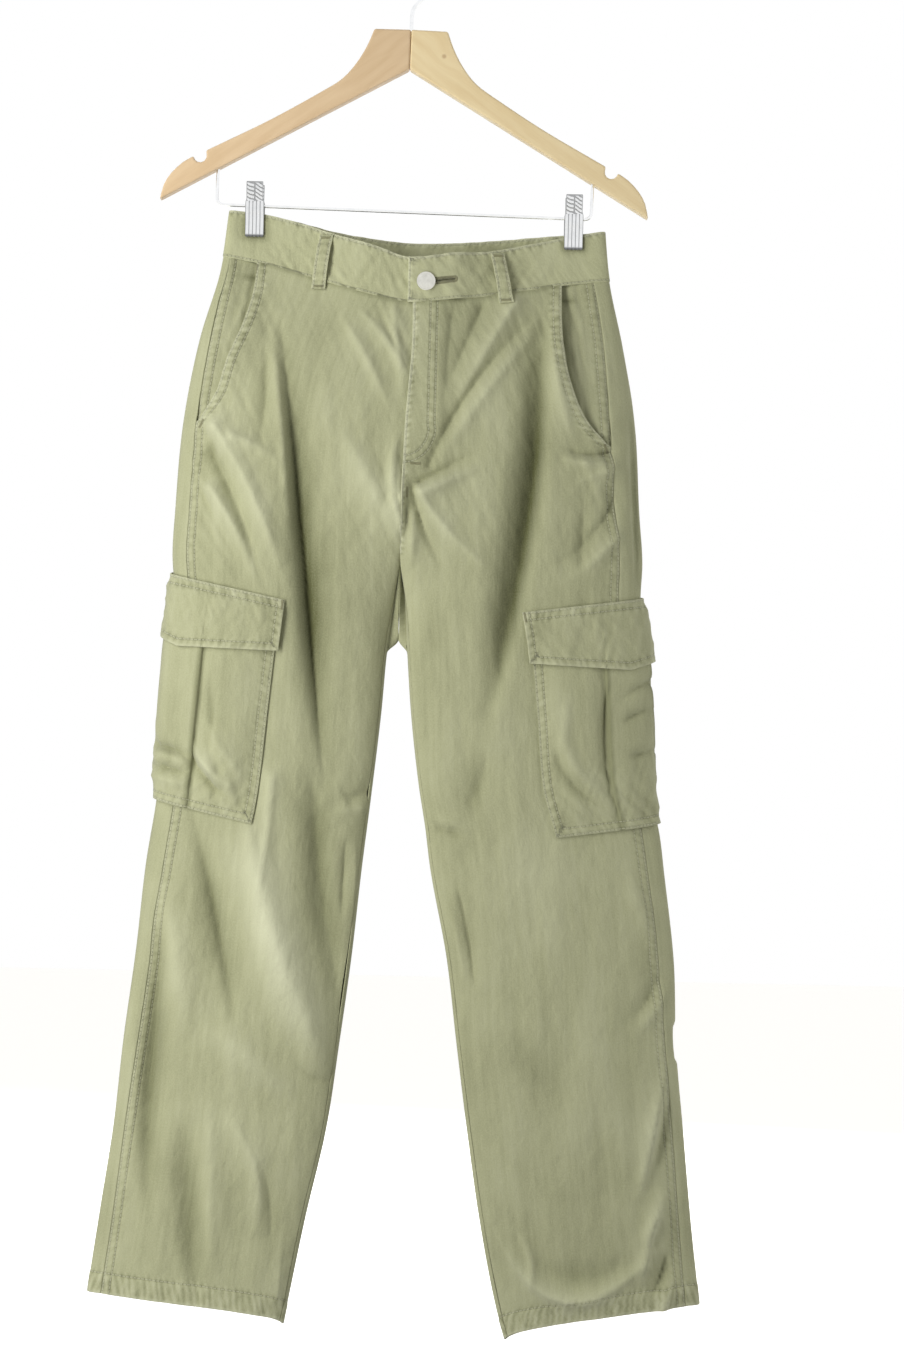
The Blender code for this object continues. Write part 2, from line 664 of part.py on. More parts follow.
def make_loops():
    """Each loop lies on the band at its top, stands off it, and is sewn below the band."""
    on_band = 0.5 * (BAND_CLOTH + LOOP_CLOTH) + LAY_GAP
    on_panel = 0.5 * (CLOTH + LOOP_CLOTH) + LAY_GAP + 0.4
    stations = ((0.0, on_band), (0.12, on_band), (0.22, on_band + 0.75 * LOOP_STAND),
                (0.34, on_band + LOOP_STAND), (0.66, on_band + LOOP_STAND),
                (0.78, on_band + 0.7 * LOOP_STAND), (0.88, on_panel + 0.6), (1.0, on_panel))
    for number, loop in enumerate(LOOPS, 1):
        top = band_edge(f"{loop.face}_top", loop.x_top) - loop.drop_top
        low = band_edge(f"{loop.face}_low", loop.x_low) - loop.drop_low
        grid = []
        for share, lift in stations:
            x = mix(loop.x_top, loop.x_low, share)
            z = mix(top, low, share)
            line = [at_x(loop.face, x + side * 0.5 * LOOP_WIDTH, z, lift) for side in (-1, 0, 1)]
            grid.append(line)
        wall(f"belt_loop_{number}", grid, LOOP_CLOTH, "twill", flip=loop.face == "back")


def make_button():
    """Shank through the slot, domed head on the lapped end of the band."""
    seat = at_x("front", BUTTON["x"], BUTTON["z"], 0.0)
    out = (at_x("front", BUTTON["x"], BUTTON["z"], 5.0) - seat).normalized()
    foot = 0.5 * BAND_CLOTH + SEAM_GAP
    head = LAP_LIFT + 0.5 * BAND_CLOTH + 0.4
    radius = BUTTON["radius"]
    profile = [(BUTTON["shank"], foot), (BUTTON["shank"], head), (radius - 0.5, head),
               (radius, head + 0.5), (radius, head + BUTTON["rim"])]
    for degrees in (20, 45, 70):
        angle = math.radians(degrees)
        profile.append((radius * math.cos(angle), head + BUTTON["rim"]
                        + BUTTON["dome"] * math.sin(angle)))
    turned("waist_button", profile, seat, out, 24, "button_metal")


# ---------------------------------------------------------------- fly and slant pockets
def fly_strip(x_from_edge, top_z, low_z, lift, columns=4, rows=7):
    """A strip behind the fly, beside the line of its edge."""
    grid = []
    for r in range(rows + 1):
        z = mix(top_z, low_z, r / rows)
        edge = section(LEFT, "inner", z)
        start, end = x_from_edge
        grid.append([at_x("front", edge + mix(start, end, c / columns), z, lift)
                     for c in range(columns + 1)])
    return grid


def make_fly():
    top = band_edge("front_low", 20.0) - 2.0
    tape_lift = -(CLOTH + LAY_GAP)
    slider = 2.2
    wall("zip_tape", fly_strip((-2.0, 24.0), top, -476.0, tape_lift), CLOTH, "zip")
    wall("fly_shield", fly_strip((-16.0, 32.0), top, -488.0, tape_lift - CLOTH - LAY_GAP),
         CLOTH, "twill_inside")
    lift = tape_lift + 0.5 * CLOTH + 0.3 + 0.5 * slider
    wall("zip_slider", fly_strip((10.8, 18.8), top - 3.0, top - 15.0, lift, 2, 2), slider, "steel")


def make_facings():
    """Hip facings: sewn into the side seam, running on under the slant edge of the front."""
    for leg in LEGS:
        foot = leg.slant[-1].z
        heights = [row.side for row in leg.rows if row.side > foot + 20.0] + [foot + 8.0]
        grid = []
        for number in range(len(heights) + 1):
            line = []
            for share in (0.0, 0.15, 0.4, 0.7, 0.85, 1.0):
                z = heights[number - 1] if number else band_edge("front_low", leg.slant[0].x)
                seam = section(leg, "seam", z) + 0.5 * SEAM_GAP
                edge = leg.sign * (section(leg, "out", z) - read(leg.slant, "z", "x", z))
                off = mix(seam, edge + FACING_UNDER, share)
                if number == 0:
                    x = section(leg, "out", z) - leg.sign * off
                    z = band_edge("front_low", x) - BAND_GAP
                drop = ramp(off, seam, mix(seam, edge, 0.85))
                drop = mix(drop, 1.0, ramp(z, foot + 45.0, foot + 18.0))
                line.append(lifted(leg, -girth(leg, "front", off, z), z, -FACING_DROP * drop))
            grid.append(line)
        wall(f"hip_facing_{leg.name}", grid, CLOTH, "twill_inside", flip=leg.sign > 0)


# ---------------------------------------------------------------- cargo pockets
def pocket_place(leg, across, down, lift):
    """A point by its place on the pocket: across from the side seam, down from the mouth."""
    z = leg.pocket_z + across * leg.tilt - down
    centre = -girth(leg, "front", section(leg, "seam", z), z)
    return lifted(leg, centre + across + down * leg.lean, z, lift)


def sewn_gap(across):
    return mix(ROUND_GAP, FLAT_GAP, ramp(abs(across), 30.0, 70.0))


def pocket_half(down):
    return mix(POCKET["half_top"], POCKET["half_low"], down / POCKET["height"])


def pocket_lift(across, down):
    """The wall lies close at its sewn edges, puffs out between them, and has a raised strip."""
    half = pocket_half(down)
    edge = ramp(half - abs(across), 0.0, 30.0)
    foot = ramp(POCKET["height"] - down, 0.0, 34.0)
    mouth = mix(0.3, 1.0, ramp(down, 0.0, 60.0))
    puff = mix(POCKET["strip_puff"], 1.0, ramp(abs(across), 15.0, 45.0)) * mouth
    strip = POCKET["strip_lift"] * (1.0 - ramp(abs(across), POCKET["strip_half"] - STRIP_TURN,
                                               POCKET["strip_half"] + STRIP_TURN))
    return CLOTH + sewn_gap(across) + POCKET["puff"] * puff * edge * foot + strip * min(mouth, foot + 0.4)


def across_marks(half, stitch):
    """Columns over a pocket or flap: close together where it turns round the leg's outer edge."""
    inside = POCKET["strip_half"] - STRIP_TURN
    outside = POCKET["strip_half"] + STRIP_TURN
    marks = (-62.0, -48.0, -35.0, -outside, -inside, -8.0, 4.0, 11.0, 17.0, inside, outside, 29.0,
             34.0, 40.0, 50.0, 63.0)
    return (-half, stitch - half) + marks + (half - stitch, half)


def make_cargo_pockets():
    shares = (0.0, 0.12, 0.3, 0.48, 0.66, 0.8, 0.9, 1.0)
    for leg in LEGS:
        grid = []
        for share in shares:
            down = share * POCKET["height"]
            grid.append([pocket_place(leg, across, down, pocket_lift(across, down))
                         for across in across_marks(pocket_half(down), POCKET["stitch"])])
        wall(f"cargo_pocket_{leg.name}", grid, CLOTH, "twill", flip=leg.sign < 0)


def make_flaps():
    """A flap sewn above the mouth, a little deeper at its middle, lying over the pocket."""
    rows = 4
    for leg in LEGS:
        grid = []
        for r in range(rows + 1):
            line = []
            for across in across_marks(FLAP["half"], FLAP["stitch"]):
                reach = FLAP["end"] + FLAP["point"] * (1.0 - abs(across) / FLAP["half"])
                down = reach * r / rows - FLAP["above"]
                near = max(pocket_lift(across + step, max(down, 0.0)) for step in (-7.0, 0.0, 7.0))
                sewn = 0.5 * (CLOTH + FLAP_CLOTH)
                lift = mix(sewn + sewn_gap(across), near + sewn + FLAP["clear"],
                           ramp(down, -13.0, -2.0))
                line.append(pocket_place(leg, across, down, lift))
            grid.append(line)
        wall(f"cargo_flap_{leg.name}", grid, FLAP_CLOTH, "twill", flip=leg.sign < 0)


# ---------------------------------------------------------------- hanger and clips
def tilted(x, y, z):
    """A point of the hanger, which hangs a little low on the wearer's left."""
    return Vector((x * math.cos(HANGER_TILT) + z * math.sin(HANGER_TILT), y,
                   z * math.cos(HANGER_TILT) - x * math.sin(HANGER_TILT)))


def arm_outline():
    """Outline of one arm in X and Z, counted from the top of the neck down its upper edge."""
    neck = [Vector(p) for p in ((33.5, -76.5), (39.5, -92.0), (48.5, -108.0), (61.0, -123.0),
                                (80.0, -136.0), (123.0, -162.0), (165.0, -184.5), (182.2, -193.5))]
    nose = [Vector(p) for p in ((193.4, -199.0), (203.0, -205.0), (213.0, -215.0),
                                (219.5, -226.0), (222.6, -239.5))]
    outline = smooth_route(neck, 3)
    for step in range(1, 7):
        angle = math.radians(mix(137.0, 354.0, step / 7))
        outline.append(Vector((NOTCH["x"] + NOTCH["radius"] * math.cos(angle),
                               NOTCH["z"] + NOTCH["radius"] * math.sin(angle))))
    outline += smooth_route(nose, 2)
    outline += [Vector((0.15, APEX_Z)), Vector((0.15, -76.0))]
    return outline


def cutter(node, place, direction, radius, length):
    """A hole for a wire's end, cut and then left out of the part."""
    turn = Vector((0, 0, 1)).rotation_difference(direction).to_matrix().to_4x4()
    mesh = bpy.data.meshes.new(node)
    shape = bmesh.new()
    bmesh.ops.create_cone(shape, cap_ends=True, segments=12, radius1=radius * MM,
                          radius2=radius * MM, depth=length * MM, matrix=turn)
    shape.to_mesh(mesh)
    shape.free()
    thing = bpy.data.objects.new(node, mesh)
    thing.location = place * MM
    thing.hide_render = True
    thing.display_type = "WIRE"
    bpy.context.collection.objects.link(thing)
    return thing


def make_arms():
    outline = arm_outline()
    up = tilted(0.0, 0.0, 1.0)
    hook_hole = cutter("hook_hole", tilted(0.0, 0.0, -80.0), up, 0.5 * WIRE_HOOK + 0.3, 44.0)
    for name, sign in (("right", -1), ("left", 1)):
        shape = bmesh.new()
        ring = [shape.verts.new(tilted(sign * p.x, -0.5 * WOOD, p.y) * MM) for p in outline]
        face = shape.faces.new(ring)
        moved = bmesh.ops.extrude_face_region(shape, geom=[face])
        corners = [item for item in moved["geom"] if isinstance(item, bmesh.types.BMVert)]
        bmesh.ops.translate(shape, verts=corners, vec=Vector((0.0, WOOD * MM, 0.0)))
        bmesh.ops.recalc_face_normals(shape, faces=shape.faces)
        mesh = bpy.data.meshes.new(f"hanger_arm_{name}")
        shape.to_mesh(mesh)
        shape.free()
        arm = add_object(f"hanger_arm_{name}", mesh, "wood")
        soften = arm.modifiers.new("soften", "BEVEL")
        soften.width = 1.6 * MM
        soften.segments = 2
        soften.limit_method = "ANGLE"
        soften.angle_limit = math.radians(50)
        bar_hole = cutter(f"bar_hole_{name}", tilted(sign * BAR_HALF, 0.0, -206.0), up,
                          0.5 * WIRE_BAR + 0.3, 24.0)
        for hole in (hook_hole, bar_hole):
            cut = arm.modifiers.new("hole", "BOOLEAN")
            cut.operation = "DIFFERENCE"
            cut.object = hole
            cut.solver = "EXACT"


def make_hook():
    """A shank that swings out to one side and comes back over the rail."""
    centre_z = 0.5 * WIRE_HOOK - HOOK_RADIUS
    shank = [Vector((0.0, 0.0, z)) for z in (-98.0, -84.0, -70.0, -62.0)]
    turn = [Vector((1.6, 0.0, -55.0)), Vector((7.5, 0.0, -48.0))]
    bend = []
    for degrees in range(-42, 196, 14):
        angle = math.radians(degrees)
        bend.append(Vector((HOOK_RADIUS * math.cos(angle), 0.0,
                            centre_z + HOOK_RADIUS * math.sin(angle))))
    route = shank[:3] + smooth_route(shank[2:] + turn + bend[:1], 3)[1:-1] + bend
    points = [tilted(p.x, p.y, p.z) if p.z < -60.0 else p + (tilted(0.0, 0.0, -60.0)
              - Vector((0.0, 0.0, -60.0))) * ramp(p.z, -30.0, -60.0) for p in route]
    wire("hanger_hook", points, WIRE_HOOK, "steel")


def make_bar():
    corner = []
    for step in range(5):
        angle = math.radians(mix(0.0, 90.0, step / 4))
        corner.append((BAR_HALF - BAR_CORNER * (1.0 - math.cos(angle)),
                       BAR_Z + BAR_CORNER * (1.0 - math.sin(angle))))
    side = [(BAR_HALF, -198.0), (BAR_HALF, -216.0)] + corner
    points = [tilted(x, 0.0, z) for x, z in side]
    points += [tilted(x, 0.0, BAR_Z) for x in (110.0, 55.0, 0.0, -55.0, -110.0)]
    points += [tilted(-x, 0.0, z) for x, z in reversed(side)]
    wire("hanger_bar", points, WIRE_BAR, "steel")


CLIP = {"width_top": 15.0, "width_low": 16.6, "plate": 1.0, "rib": 0.7, "ribs": 5,
        "spring_bore": 1.9, "spring_radius": 4.4, "spring_length": 12.0}


def make_clips():
    """A clip: two ribbed jaws that close on the band, and the spring on the bar between them."""
    half = 0.5 * CLIP["plate"]
    jaw = PINCH + 0.5 * BAND_CLOTH + 0.4 + half + 0.5 * CLIP["rib"]
    open_by = CLIP["spring_radius"] + 0.9 + half
    profile = ((21.0, open_by + 3.6), (12.0, open_by + 2.0), (3.5, open_by), (-4.0, open_by),
               (-9.0, mix(open_by, jaw, 0.6)), (-14.0, jaw), (-28.0, jaw))
    columns = 2 * CLIP["ribs"]
    for name, x in CLIPS.items():
        bar = tilted(x - BAR_Z * math.sin(HANGER_TILT), 0.0, BAR_Z)
        for face, side in (("front", -1.0), ("back", 1.0)):
            grid = []
            for up, out in profile:
                width = CLIP["width_top"] if up > 0.0 else CLIP["width_low"]
                line = []
                for c in range(columns + 1):
                    rib = CLIP["rib"] * (0.5 if c % 2 else -0.5) * (1.0 if up < 0.0 else 0.3)
                    line.append(bar + Vector((width * (c / columns - 0.5), side * (out + rib), up)))
                grid.append(line)
            wall(f"clip_{name}_{face}", grid, CLIP["plate"], "steel", flip=face == "back")
        bore, radius = CLIP["spring_bore"], CLIP["spring_radius"]
        reach = 0.5 * CLIP["spring_length"]
        ring = [(bore, -reach), (radius, -reach), (radius, reach), (bore, reach)]
        turned(f"clip_{name}_spring", ring, bar, tilted(1.0, 0.0, 0.0), 16, "steel", True)


# ---------------------------------------------------------------- build
for old in list(bpy.data.objects):
    bpy.data.objects.remove(old, do_unlink=True)

ROOT = bpy.data.objects.new("cargo_trousers_on_hanger", None)
bpy.context.collection.objects.link(ROOT)

make_panels()
make_band()
make_loops()
make_button()
make_fly()
make_facings()
make_cargo_pockets()
make_flaps()
make_arms()
make_hook()
make_bar()
make_clips()
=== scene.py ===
import math

import bmesh
import bpy
import numpy as np
from mathutils import Matrix, Vector


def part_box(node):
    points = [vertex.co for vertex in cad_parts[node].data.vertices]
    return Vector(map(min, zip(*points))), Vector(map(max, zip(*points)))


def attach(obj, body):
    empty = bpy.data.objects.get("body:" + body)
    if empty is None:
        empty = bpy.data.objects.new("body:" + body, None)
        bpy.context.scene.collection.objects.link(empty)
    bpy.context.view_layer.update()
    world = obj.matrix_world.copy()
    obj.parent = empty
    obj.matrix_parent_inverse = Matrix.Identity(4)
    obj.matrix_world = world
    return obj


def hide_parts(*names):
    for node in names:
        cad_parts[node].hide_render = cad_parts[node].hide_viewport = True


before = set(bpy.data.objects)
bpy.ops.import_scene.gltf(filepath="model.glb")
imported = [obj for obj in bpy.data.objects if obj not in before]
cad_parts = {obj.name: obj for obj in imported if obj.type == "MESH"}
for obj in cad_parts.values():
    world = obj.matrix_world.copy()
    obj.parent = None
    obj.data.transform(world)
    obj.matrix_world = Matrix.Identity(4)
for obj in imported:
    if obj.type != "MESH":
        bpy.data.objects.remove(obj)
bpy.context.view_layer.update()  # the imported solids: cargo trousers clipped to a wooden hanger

print("frame loaded:", len(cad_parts), "nodes")


def addObject(name, data):
    made = bpy.data.objects.new(name, data)
    bpy.context.scene.collection.objects.link(made)
    return made


# The camera looks level at the trousers from the front, rolled a little because they hang askew.
view = {"place": (0.0485, -2.4, -0.6656), "turn": (90.0, -1.25, 0.0), "lens": 69.8, "sensor": 36.0}
cameraData = bpy.data.cameras.new("frontCamera")
cameraData.lens = view["lens"]
cameraData.sensor_width = view["sensor"]
camera = addObject("frontCamera", cameraData)
camera.location = view["place"]
camera.rotation_euler = [math.radians(angle) for angle in view["turn"]]
bpy.context.scene.camera = camera


# Small sums on whole grids of points. All cloth is worked out in millimetres.
def ramp(value, start, end):
    share = np.clip((value - start) / (end - start), 0.0, 1.0)
    return share * share * (3.0 - 2.0 * share)


def mix(first, second, share):
    return first + (second - first) * share


def roll(share):  # quarter circle, from an edge into the flat
    return np.sqrt(np.maximum(1.0 - (1.0 - np.clip(share, 0.0, 1.0)) ** 2, 0.0))


def unit(vectors):
    return vectors / np.maximum(np.linalg.norm(vectors, axis=-1, keepdims=True), 1e-9)


def column(rows, number, at):  # a column of a table, on a smooth curve
    rows = np.array(sorted(rows), float)
    keys, values = rows[:, 0], rows[:, number]
    slopes = np.diff(values) / np.diff(keys)
    turns = np.concatenate([slopes[:1], 0.5 * (slopes[1:] + slopes[:-1]), slopes[-1:]])
    at = np.clip(at, keys[0], keys[-1])
    span = np.clip(np.searchsorted(keys, at) - 1, 0, len(slopes) - 1)
    width = keys[span + 1] - keys[span]
    t = (at - keys[span]) / width
    return ((1 + 2 * t) * (1 - t) ** 2 * values[span] + t * (1 - t) ** 2 * width * turns[span]
            + t * t * (3 - 2 * t) * values[span + 1] + t * t * (t - 1) * width * turns[span + 1])


def waves(x, z, size, seed):  # soft uneven waves, mostly lengthwise
    pick = np.random.default_rng(seed)
    total = np.zeros(np.broadcast(x, z).shape)
    for _ in range(8):
        slant, length = pick.uniform(-0.25, 0.25), size * pick.uniform(0.6, 1.8)
        phase, bend = pick.uniform(0.0, 6.3, 2)
        drift = 1.4 * np.sin(z / (2.3 * size) + bend)
        total += np.sin((x + slant * z * 0.6) * 2.0 * math.pi / length + phase + drift)
    return total / 4.0


def crumple(x, z, size, seed):  # uneven facets that meet in sharp lines
    first = np.abs(waves(x + 0.5 * z, 0.6 * z, size, seed))
    second = np.abs(waves(x - 0.7 * z, 0.6 * z, 1.4 * size, seed + 50))
    return 0.6 - first - 0.8 * second


# How the hung cloth opens out between the waist and the hip, in millimetres.
hung = {"roll": 0.44, "bandRoll": 6.0, "pinch": 1.6, "sideSwell": 1.8,
        "waistSwell": {"front": 17.0, "back": 9.0}, "waist": -270.0, "hip": -410.0,
        "fork": {"front": (-515.0, -602.0), "back": (-572.0, -634.0)},
        "clips": (-140.5, 150.5), "clipFlat": 12.0,
        "creaseGain": 2.6, "backGain": 0.75, "narrow": 11, "crisp": 1.08, "soft": 1.7, "tip": 0.6,
        "broadWave": 0.75, "smallWave": 0.32, "crumple": 22.0}

# Sections: height, outer edge, inner edge, side seam in from the outer edge, front and back depth.
# Slant: height and x of the pocket edge. Rows: heights at the side seam, the front's and the
# back's inner ends.
sectionColumn = {"out": 1, "inner": 2, "seam": 3, "front": 4, "back": 5}
upperRows = ((-325, -352, -335), (-353, -380, -360), (-382, -408, -388), (-410, -436, -418))
lowerRows = ((-480, -503, -495), (-528, -530, -560), (-570, -557, -632), (-608, -590, -645),
             (-650, -632, -668), (-700, -690, -705), (-750, -748, -752), (-800, -800, -800),
             (-860, -860, -860), (-930, -930, -930), (-1000, -1000, -1000),
             (-1075, -1078, -1078), (-1150, -1156, -1156))
sides = ("right", "left")
legs = {
    "right": {
        "sign": -1, "pocket": -595.0, "tilt": 0.20, "lean": 0.05,
        "sections": (
            (-240, -162.5, 5.0, 2.0, 20, 15), (-300, -170.5, 5.0, 4.0, 22, 18),
            (-360, -187.5, 6.0, 10.0, 25, 23), (-440, -201.5, 1.0, 13.0, 28, 28),
            (-520, -207.0, -1.0, 14.0, 28, 28), (-557, -208.5, -1.0, 14.0, 27, 27),
            (-595, -206.0, -5.5, 14.0, 27, 26), (-640, -208.5, -11.5, 14.0, 26, 26),
            (-700, -212.0, -16.0, 15.0, 25, 26), (-780, -218.0, -24.0, 17.0, 23, 24),
            (-840, -226.5, -30.5, 17.0, 22, 22), (-920, -234.0, -38.0, 14.0, 20, 20),
            (-1000, -243.5, -47.5, 13.0, 19, 18), (-1080, -251.0, -58.0, 11.0, 18, 16),
            (-1160, -262.0, -75.0, 13.0, 17, 15), (-1240, -272.5, -90.0, 13.0, 16, 14),
            (-1270, -275.5, -95.5, 13.0, 16, 14)),
        "slant": ((-285, -137), (-320, -140), (-350, -148), (-380, -160), (-412, -170), (-438, -186)),
        "rows": upperRows + ((-438, -466, -450),) + lowerRows + (
            (-1215, -1237, -1241), (-1232, -1254, -1258)),
    },
    "left": {
        "sign": 1, "pocket": -608.0, "tilt": 0.13, "lean": 0.02,
        "sections": (
            (-240, 177.0, 5.0, 4.0, 20, 15), (-300, 183.5, 5.0, 12.0, 22, 18),
            (-360, 197.0, 6.0, 17.0, 25, 23), (-440, 211.5, 1.0, 24.0, 28, 28),
            (-520, 218.0, -1.0, 23.0, 28, 28), (-557, 220.0, -1.0, 22.0, 27, 27),
            (-595, 218.5, 4.2, 20.0, 27, 26), (-640, 223.0, 7.5, 18.0, 26, 26),
            (-700, 226.5, 12.5, 17.0, 25, 26), (-765, 230.5, 21.0, 16.0, 23, 24),
            (-802, 240.0, 27.5, 16.0, 22.5, 23), (-840, 245.5, 33.0, 15.0, 22, 22),
            (-920, 256.0, 49.5, 14.0, 20, 20), (-1000, 260.0, 60.5, 10.0, 19, 18),
            (-1080, 268.5, 72.0, 10.0, 18, 16), (-1160, 277.0, 85.0, 11.0, 17, 15),
            (-1240, 287.0, 102.0, 13.0, 16, 14), (-1270, 290.0, 111.0, 13.0, 16, 14)),
        "slant": ((-300, 141), (-341, 141), (-367, 143), (-396, 149), (-430, 165), (-453, 186)),
        "rows": upperRows + ((-453, -470, -455),) + lowerRows + (
            (-1215, -1247, -1251), (-1232, -1264, -1268)),
    },
}

# The waistband's edges: x, then the height of its top and foot in front, and at the back.
bandColumn = {"frontTop": 1, "frontLow": 2, "backTop": 3, "backLow": 4}
bandLines = (
    (-172, -243.0, -285.0, -243.0, -285.0), (-133, -246.5, -291.5, -246.5, -290.0),
    (-99, -254.0, -301.0, -253.0, -296.0), (-68, -264.0, -310.0, -260.0, -303.0),
    (-29, -275.0, -320.5, -265.5, -308.5), (1, -285.0, -326.5, -268.0, -311.0),
    (40, -280.5, -323.0, -267.5, -310.5), (75, -277.0, -318.0, -265.5, -308.5),
    (115, -268.0, -311.0, -262.0, -305.0), (158, -259.0, -303.5, -258.0, -302.0),
    (184, -255.0, -301.0, -255.0, -301.0))


def size(leg, name, z):
    return column(leg["sections"], sectionColumn[name], z)


def bandEdge(name, x):
    return column(bandLines, bandColumn[name], x)


def slantX(leg, z):
    return column(leg["slant"], 1, z)


faceSide = {"front": -1.0, "back": 1.0}


def forkShare(face, z):  # 1 where both legs are one body
    return 1.0 - ramp(z, *hung["fork"][face])


def offAt(leg, x, z):  # in from a leg's outer edge, by x
    return leg["sign"] * (size(leg, "out", z) - x)


def xAt(leg, off, z):
    return size(leg, "out", z) - leg["sign"] * off


def legWidth(leg, z):
    return offAt(leg, size(leg, "inner", z), z)


def waistDepth(face, x):  # pinched under the clips, open between them
    flat = hung["clipFlat"]
    first, last = hung["clips"]
    between = np.clip((x - first - flat) / (last - first - 2.0 * flat), 0.0, 1.0)
    beyond = np.maximum(np.maximum(first - flat - x, x - last - flat), 0.0)
    return (hung["pinch"] + hung["waistSwell"][face] * np.sin(math.pi * between) ** 2
            + hung["sideSwell"] * ramp(beyond, 0.0, flat))


def nearInner(leg, face, off, z):  # 0 at a leg's inner edge, 1 in the flat and above the fork
    width = legWidth(leg, z)
    fork = forkShare(face, z)
    return fork + (1.0 - fork) * roll((width - off) / (hung["roll"] * width))


def sheetDepth(leg, face, off, z):  # how far a sheet stands from the mid-plane
    turned = roll(off / (hung["roll"] * legWidth(leg, z)))
    loose = size(leg, face, z) * turned * nearInner(leg, face, off, z)
    clipped = waistDepth(face, xAt(leg, off, z)) * roll(off / hung["bandRoll"])
    return mix(clipped, loose, ramp(z, hung["waist"], hung["hip"]))


def edgeRadius(leg, face, z):  # radius of the cloth's turn at the outer edge
    clipped = (hung["pinch"] + hung["sideSwell"]) / math.sqrt(hung["bandRoll"])
    loose = size(leg, face, z) / np.sqrt(hung["roll"] * legWidth(leg, z))
    return mix(clipped, loose, ramp(z, hung["waist"], hung["hip"])) ** 2


def girth(leg, face, off, z):  # distance on the cloth from the outer edge
    return 0.5 * (off + np.sqrt(np.maximum(off * off + 8.0 * edgeRadius(leg, face, z) * off, 0.0)))


def skin(leg, along, z):  # by girth from the outer edge, negative in front
    along, z = np.broadcast_arrays(np.asarray(along, float), np.asarray(z, float))
    front = along < 0.0
    radius = np.where(front, edgeRadius(leg, "front", z), edgeRadius(leg, "back", z))
    off = along * along / (np.abs(along) + 2.0 * radius)
    depth = np.where(front, -sheetDepth(leg, "front", off, z), sheetDepth(leg, "back", off, z))
    return np.stack([xAt(leg, off, z), depth, z], -1)


def outward(leg, along, z):
    across = skin(leg, along + 1.5, z) - skin(leg, along - 1.5, z)
    down = skin(leg, along, z - 4.0) - skin(leg, along, z + 4.0)
    return unit(np.cross(across, down)) * -leg["sign"]


def innerPoint(leg, face, along, z):  # by girth from a leg's inner edge
    width = legWidth(leg, z)
    radius = size(leg, face, z) ** 2 / (hung["roll"] * width)
    off = width - along * along / (along + 2.0 * radius)
    return np.stack([xAt(leg, off, z), faceSide[face] * sheetDepth(leg, face, off, z), z], -1)


# The main creases. top, low: where each one starts and ends, x and z. bow: how far its middle bows
# to the right of the straight line, or up where it runs level. before, after: its width on either
# side of the line, the second on the side that bow counts towards. rise: its height, less than
# nothing for a trough. open: the end that runs on at full height, if one does.
creaseColumns = "topX topZ lowX lowZ bow before after rise open".split()
creaseSteps = 12
hipCreases = (
    (-120, -335, -68, -775, 1, 8, 17, -7.6), (-125, -355, -105, -545, 2, 7, 8, 3.0),
    (-130, -365, -132, -460, 3, 5, 5, -2.0), (-64, -336, -14, -428, 3, 5, 8, 2.0),
    (-47, -331, 4, -402, 4, 5, 5, 2.0), (-14, -335, -2, -425, 0, 5, 6, 1.8, "top"),
    (-6, -440, -1, -535, -8, 5, 5, 3.0), (3, -490, 1, -548, 0, 3, 5, -1.5),
    (38, -338, 32, -445, 0, 5, 7, -1.3, "top"),
    (-70, -435, -5, -550, 3, 14, 12, 2.5), (-5, -470, 0, -545, -1, 5, 5, 2.4),
    (-174, -442, -108, -590, 7, 9, 10, 4.2, "top"), (-176, -498, -131, -589, 4, 7, 8, 3.4, "top"),
    (-178, -466, -126, -592, 5, 5, 6, -2.8, "top"), (-155, -452, -110, -480, 3, 6, 6, 2.2, "top"),
    (116, -325, 70, -710, 13, 18, 8, -6.4), (128, -345, 152, -450, -5, 6, 6, 2.4),
    (130, -320, 20, -475, -11, 5, 4, -2.4, "low"), (94, -325, 33, -438, -1, 8, 7, 2.8, "top"),
    (66, -328, 34, -405, 0, 6, 6, -2.2, "top"), (118, -345, 31, -468, -3, 7, 7, 2.2),
    (12, -490, 65, -460, 0, 4, 4, -2.8, "top"), (16, -498, 70, -472, -1, 5, 6, 2.8, "top"),
    (10, -497, 88, -575, -5, 7, 9, 2.8, "top"), (7, -495, 38, -572, -4, 4, 6, -2.6, "top"),
    (9, -508, 8, -568, 0, 4, 5, 2.0), (140, -454, 186, -458, -5, 4, 4, -2.4, "low"),
    (141, -464, 185, -469, -3, 5, 5, 2.4), (151, -488, 185, -473, -1, 6, 6, 1.8, "low"),
    (131, -565, 190, -498, -8, 7, 7, -2.2, "low"), (142, -580, 192, -536, -2, 6, 6, 2.2, "low"),
    (163, -482, 158, -570, 0, 8, 8, -1.8))
